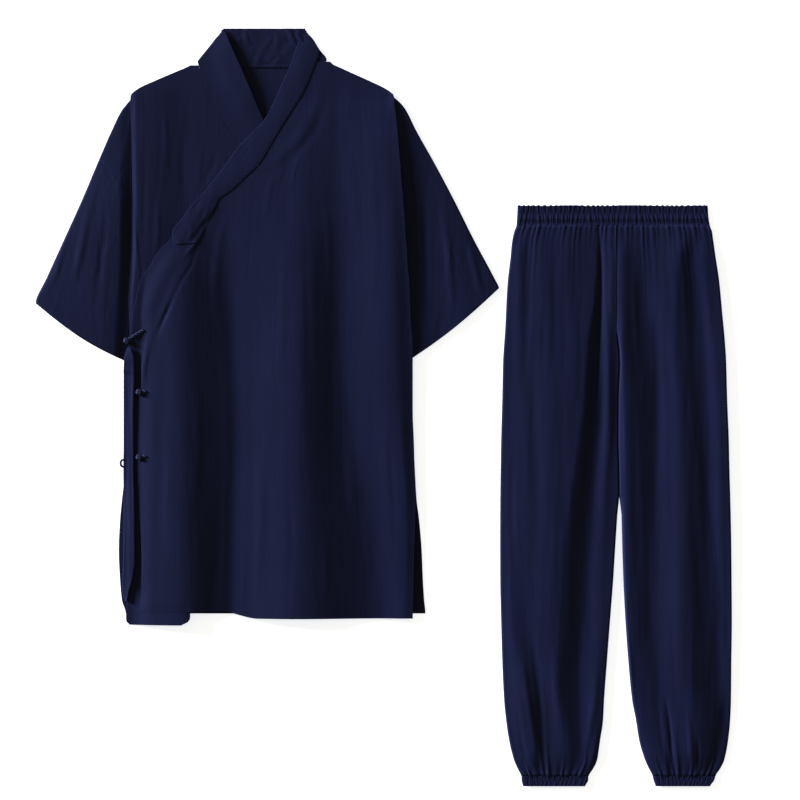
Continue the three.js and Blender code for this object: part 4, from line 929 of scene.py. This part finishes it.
def ruffle(t, count, phase):
    """Uneven upright gathers of three widths."""
    turn = 2 * np.pi * t
    wide = np.sin(turn * count + phase + 1.4 * np.sin(turn * 3))
    middle = 0.8 * np.sin(turn * count * 1.53 + 2 * phase)
    return wide + middle + 0.7 * np.sin(turn * count * 2.21 + 3 * phase + 1.1 * np.sin(turn * 5))


def band_top(count, rows, puff, level=3.9, height_each=0.26, slant=0.0005):
    """Upper side of an elasticated band: uneven gathers, drawn down along its rows of stitching."""

    def height(x, y, t, w):
        depth = rows[0][0] - y
        share = np.interp(depth, [rows[0][0] - row[0] for row in rows], puff)
        header = smoothstep(rows[1][0] - 2, rows[1][0] + 2, y)
        lean = t + slant * depth * np.sin(23 * t + 1)
        ribs = ruffle(lean, count, 0.6) * header + ruffle(lean, count * 0.9, 2.1) * (1 - header)
        return level - 1.1 * (1 - share) + share * height_each * ribs

    return height


waist = tube("waistband_cloth", *level_ends(WAIST, 34), band_top(38, WAIST, (1.0, 0.35, 1.1, 0.35, 0.8)), 420)
# Its gathers show as a fine wave along its upper edge, in metres
RIPPLE_REACH, RIPPLE_SIZE = 0.005, 0.0009
places = np.zeros(len(waist.data.vertices) * 3)
waist.data.vertices.foreach_get("co", places)
places = places.reshape(-1, 3)
across = places[:, 0] / MM
near_top = np.exp(-(WAIST[0][0] * MM - places[:, 1]) / RIPPLE_REACH)
places[:, 1] += near_top * RIPPLE_SIZE * np.sin(across * 0.74 + 1.2 * np.sin(across * 0.11))
waist.data.vertices.foreach_set("co", places.ravel())
cloth(waist, ["waistband"])

for side, rows in (("right", ANKLE_RIGHT), ("left", ANKLE_LEFT)):
    gathers = band_top(15, rows, (0.95, 0.8, 0.9), 5.0, 0.18)
    piece = tube("ankle_" + side + "_cloth", *level_ends(rows, 22), gathers, 150)
    cloth(piece, ["ankle_band_" + side])


# Knot buttons
def knot_ball(x, y, z):
    """A ball knotted from one cord: three turns round that weave over and under each other."""
    t = np.linspace(0, 2 * np.pi, 220, endpoint=False)
    latitude = 1.05 * np.sin(4 * t)
    radius = KNOT_RADIUS - 1.55 + KNOT_WEAVE * np.sin(8 * t + 0.6)
    path = np.stack([radius * np.cos(latitude) * np.cos(3 * t), radius * np.cos(latitude) * np.sin(3 * t),
                     radius * np.sin(latitude)], axis=1)
    wrap = sweep(path + (x, y, z), KNOT_WRAP, closed=True)
    points, faces = ball_points(KNOT_CORE)
    return join([wrap, (points + (x, y, z), faces)])


def ball_points(radius):
    """Points and faces of a plain ball."""
    rings, sides = 10, 16
    lat = np.linspace(0, np.pi, rings + 1)[1:-1, None]
    lon = np.linspace(0, 2 * np.pi, sides, endpoint=False)
    ring = np.stack([np.sin(lat) * np.cos(lon), np.sin(lat) * np.sin(lon), np.cos(lat) + 0 * lon], axis=2)
    points = radius * np.concatenate([[(0, 0, 1)], ring.reshape(-1, 3), [(0, 0, -1)]])
    faces = [(0, 1 + k, 1 + (k + 1) % sides) for k in range(sides)]
    faces += [tuple(i + 1 for i in face) for face in grid_faces(rings - 1, sides, closed=True)]
    last = 1 + (rings - 2) * sides
    faces += [(last + (k + 1) % sides, last + k, len(points) - 1) for k in range(sides)]
    return points, faces


def knot_cord(x, y, z, end_x, end_y):
    """The knot's doubled cord, twisted, from the ball down to where it is sewn to the cloth."""
    run = math.hypot(end_x - x, end_y - y)
    t = np.linspace(KNOT_RADIUS * 0.8 / run, 1, 60)
    cx, cy = x + (end_x - x) * t, y + (end_y - y) * t
    side = np.array([-(end_y - y), end_x - x]) / run
    fade = 1 - smoothstep(KNOT_RADIUS * 0.8 / run, 0.7, t)
    ground = np.where(cx > column(FRONT_OVER, 1, cy), over_front(cx, cy), 0) + 0.9
    cz = np.maximum(ground, z * fade)
    parts = []
    for phase in (0, np.pi):
        turn = phase + 2 * np.pi * t * run / TAIL_TWIST
        path = np.stack([cx + side[0] * TAIL_SIDE * np.cos(turn), cy + side[1] * TAIL_SIDE * np.cos(turn),
                         cz + TAIL_RISE * np.sin(turn)], axis=1)
        parts.append(sweep(path, TAIL_CORD))
    return join(parts)


for k, (x, y, end_x, end_y) in enumerate(KNOTS, 1):
    low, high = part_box(f"knot_{k}")
    z = (low.z + high.z) / 2 / MM - KNOT_SINK
    points, faces = knot_ball(x, y, z)
    points[:, 2] = z + (points[:, 2] - z) * KNOT_SQUAT
    cord(f"knot_{k}_ball", points, faces, f"knot_{k}")
    cord(f"knot_{k}_tails", *knot_cord(x, y, z, end_x, end_y), f"knot_{k}_cord")

loop = np.array(KNOT_LOOP, float)
s = np.linspace(0, 1, 40)
curve = [smooth_line(np.linspace(0, 1, len(loop)), loop[:, k], s) for k in (0, 1)]
cord("knot_3_cloth_loop", *sweep(np.stack(curve + [0 * s + LOOP_LEVEL], axis=1), LOOP_CORD), "knot_3_loop")

# Stitching
def side_line(k, inset, y0, y1):
    """Places down a side of the over front, moved across by an inset."""
    return [(float(column(FRONT_OVER, k, y)) + inset, y) for y in np.linspace(y0, y1, 60)]


def hem_line(x0, x1, y):
    """Places along the over front's hem."""
    start, end, depth = HEM_DROP
    return [(x, y - depth * float(smoothstep(start, end, x))) for x in np.linspace(x0, x1, 60)]


def band_line(k):
    """Places along a column of the over neckband's grid."""
    return list(zip(over_x[:, k], over_y[:, k]))


points, faces = stitches([
    (hem_line(-384, 42, -309), over_front),  # x from and to, and y
    ([(-400, -330), (-320, -330)], under_front),
    (side_line(1, 6, 60, -300), over_front),  # column of the outline, inset, and y from and to
    (side_line(2, -5, -165, -300), over_front),
    (band_line(20), over_band_top),
    (band_line(2), over_band_top),
])
finish_piece(make_object("stitching", points, faces, smooth=False), [], thread)

# The floor it lies on, the light and the camera, in metres
FLOOR_SIZE, FLOOR_LEVEL = 40, -0.0003
FLOOR_GLOW, FLOOR_GLOW_STRENGTH = (0.78, 0.86, 1, 1), 0.8  # evens out the warm fill on the pale floor
FILL, FILL_STRENGTH = (1.0, 0.79, 0.39, 1), 0.44
SUN_HEIGHT, SUN_TURN = math.radians(10.5), math.radians(155)  # low, from the upper left; turned from +X
SUN_STRENGTH, SUN_SPREAD = 12.8, math.radians(16)
SENSOR, WIDTH_SHOWN, DISTANCE = 36, 1.28, 3.2  # millimetres, and metres
CAMERA_X, CAMERA_Y = 0.0256, 0.0112

bpy.ops.mesh.primitive_plane_add(size=FLOOR_SIZE, location=(0, 0, FLOOR_LEVEL))
floor = bpy.context.object
floor.name = "floor"
pale = bpy.data.materials.new("pale_floor")
pale.use_nodes = True
shader = pale.node_tree.nodes["Principled BSDF"]
socket(shader, "Base Color", (0.8, 0.8, 0.8, 1))
socket(shader, "Roughness", 0.9)
socket(shader, "Emission Color", FLOOR_GLOW)
socket(shader, "Emission Strength", FLOOR_GLOW_STRENGTH)
floor.data.materials.append(pale)
floor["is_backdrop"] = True

world = bpy.data.worlds.new("studio")
world.use_nodes = True
fill = world.node_tree.nodes["Background"]
socket(fill, "Color", FILL)
socket(fill, "Strength", FILL_STRENGTH)
bpy.context.scene.world = world

light = bpy.data.lights.new("key", "SUN")
light.energy = SUN_STRENGTH
light.angle = SUN_SPREAD
key = bpy.data.objects.new("key", light)
level = math.cos(SUN_HEIGHT)
towards = Vector((math.cos(SUN_TURN) * level, math.sin(SUN_TURN) * level, math.sin(SUN_HEIGHT)))
key.rotation_mode = "QUATERNION"
key.rotation_quaternion = towards.to_track_quat("Z", "Y")
bpy.context.scene.collection.objects.link(key)

lens = bpy.data.cameras.new("camera")
lens.sensor_width = SENSOR
lens.lens = SENSOR * DISTANCE / WIDTH_SHOWN
camera = bpy.data.objects.new("camera", lens)
camera.location = (CAMERA_X, CAMERA_Y, DISTANCE)
bpy.context.scene.collection.objects.link(camera)
bpy.context.scene.camera = camera
bpy.context.scene.view_settings.view_transform = "Standard"

low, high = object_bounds()
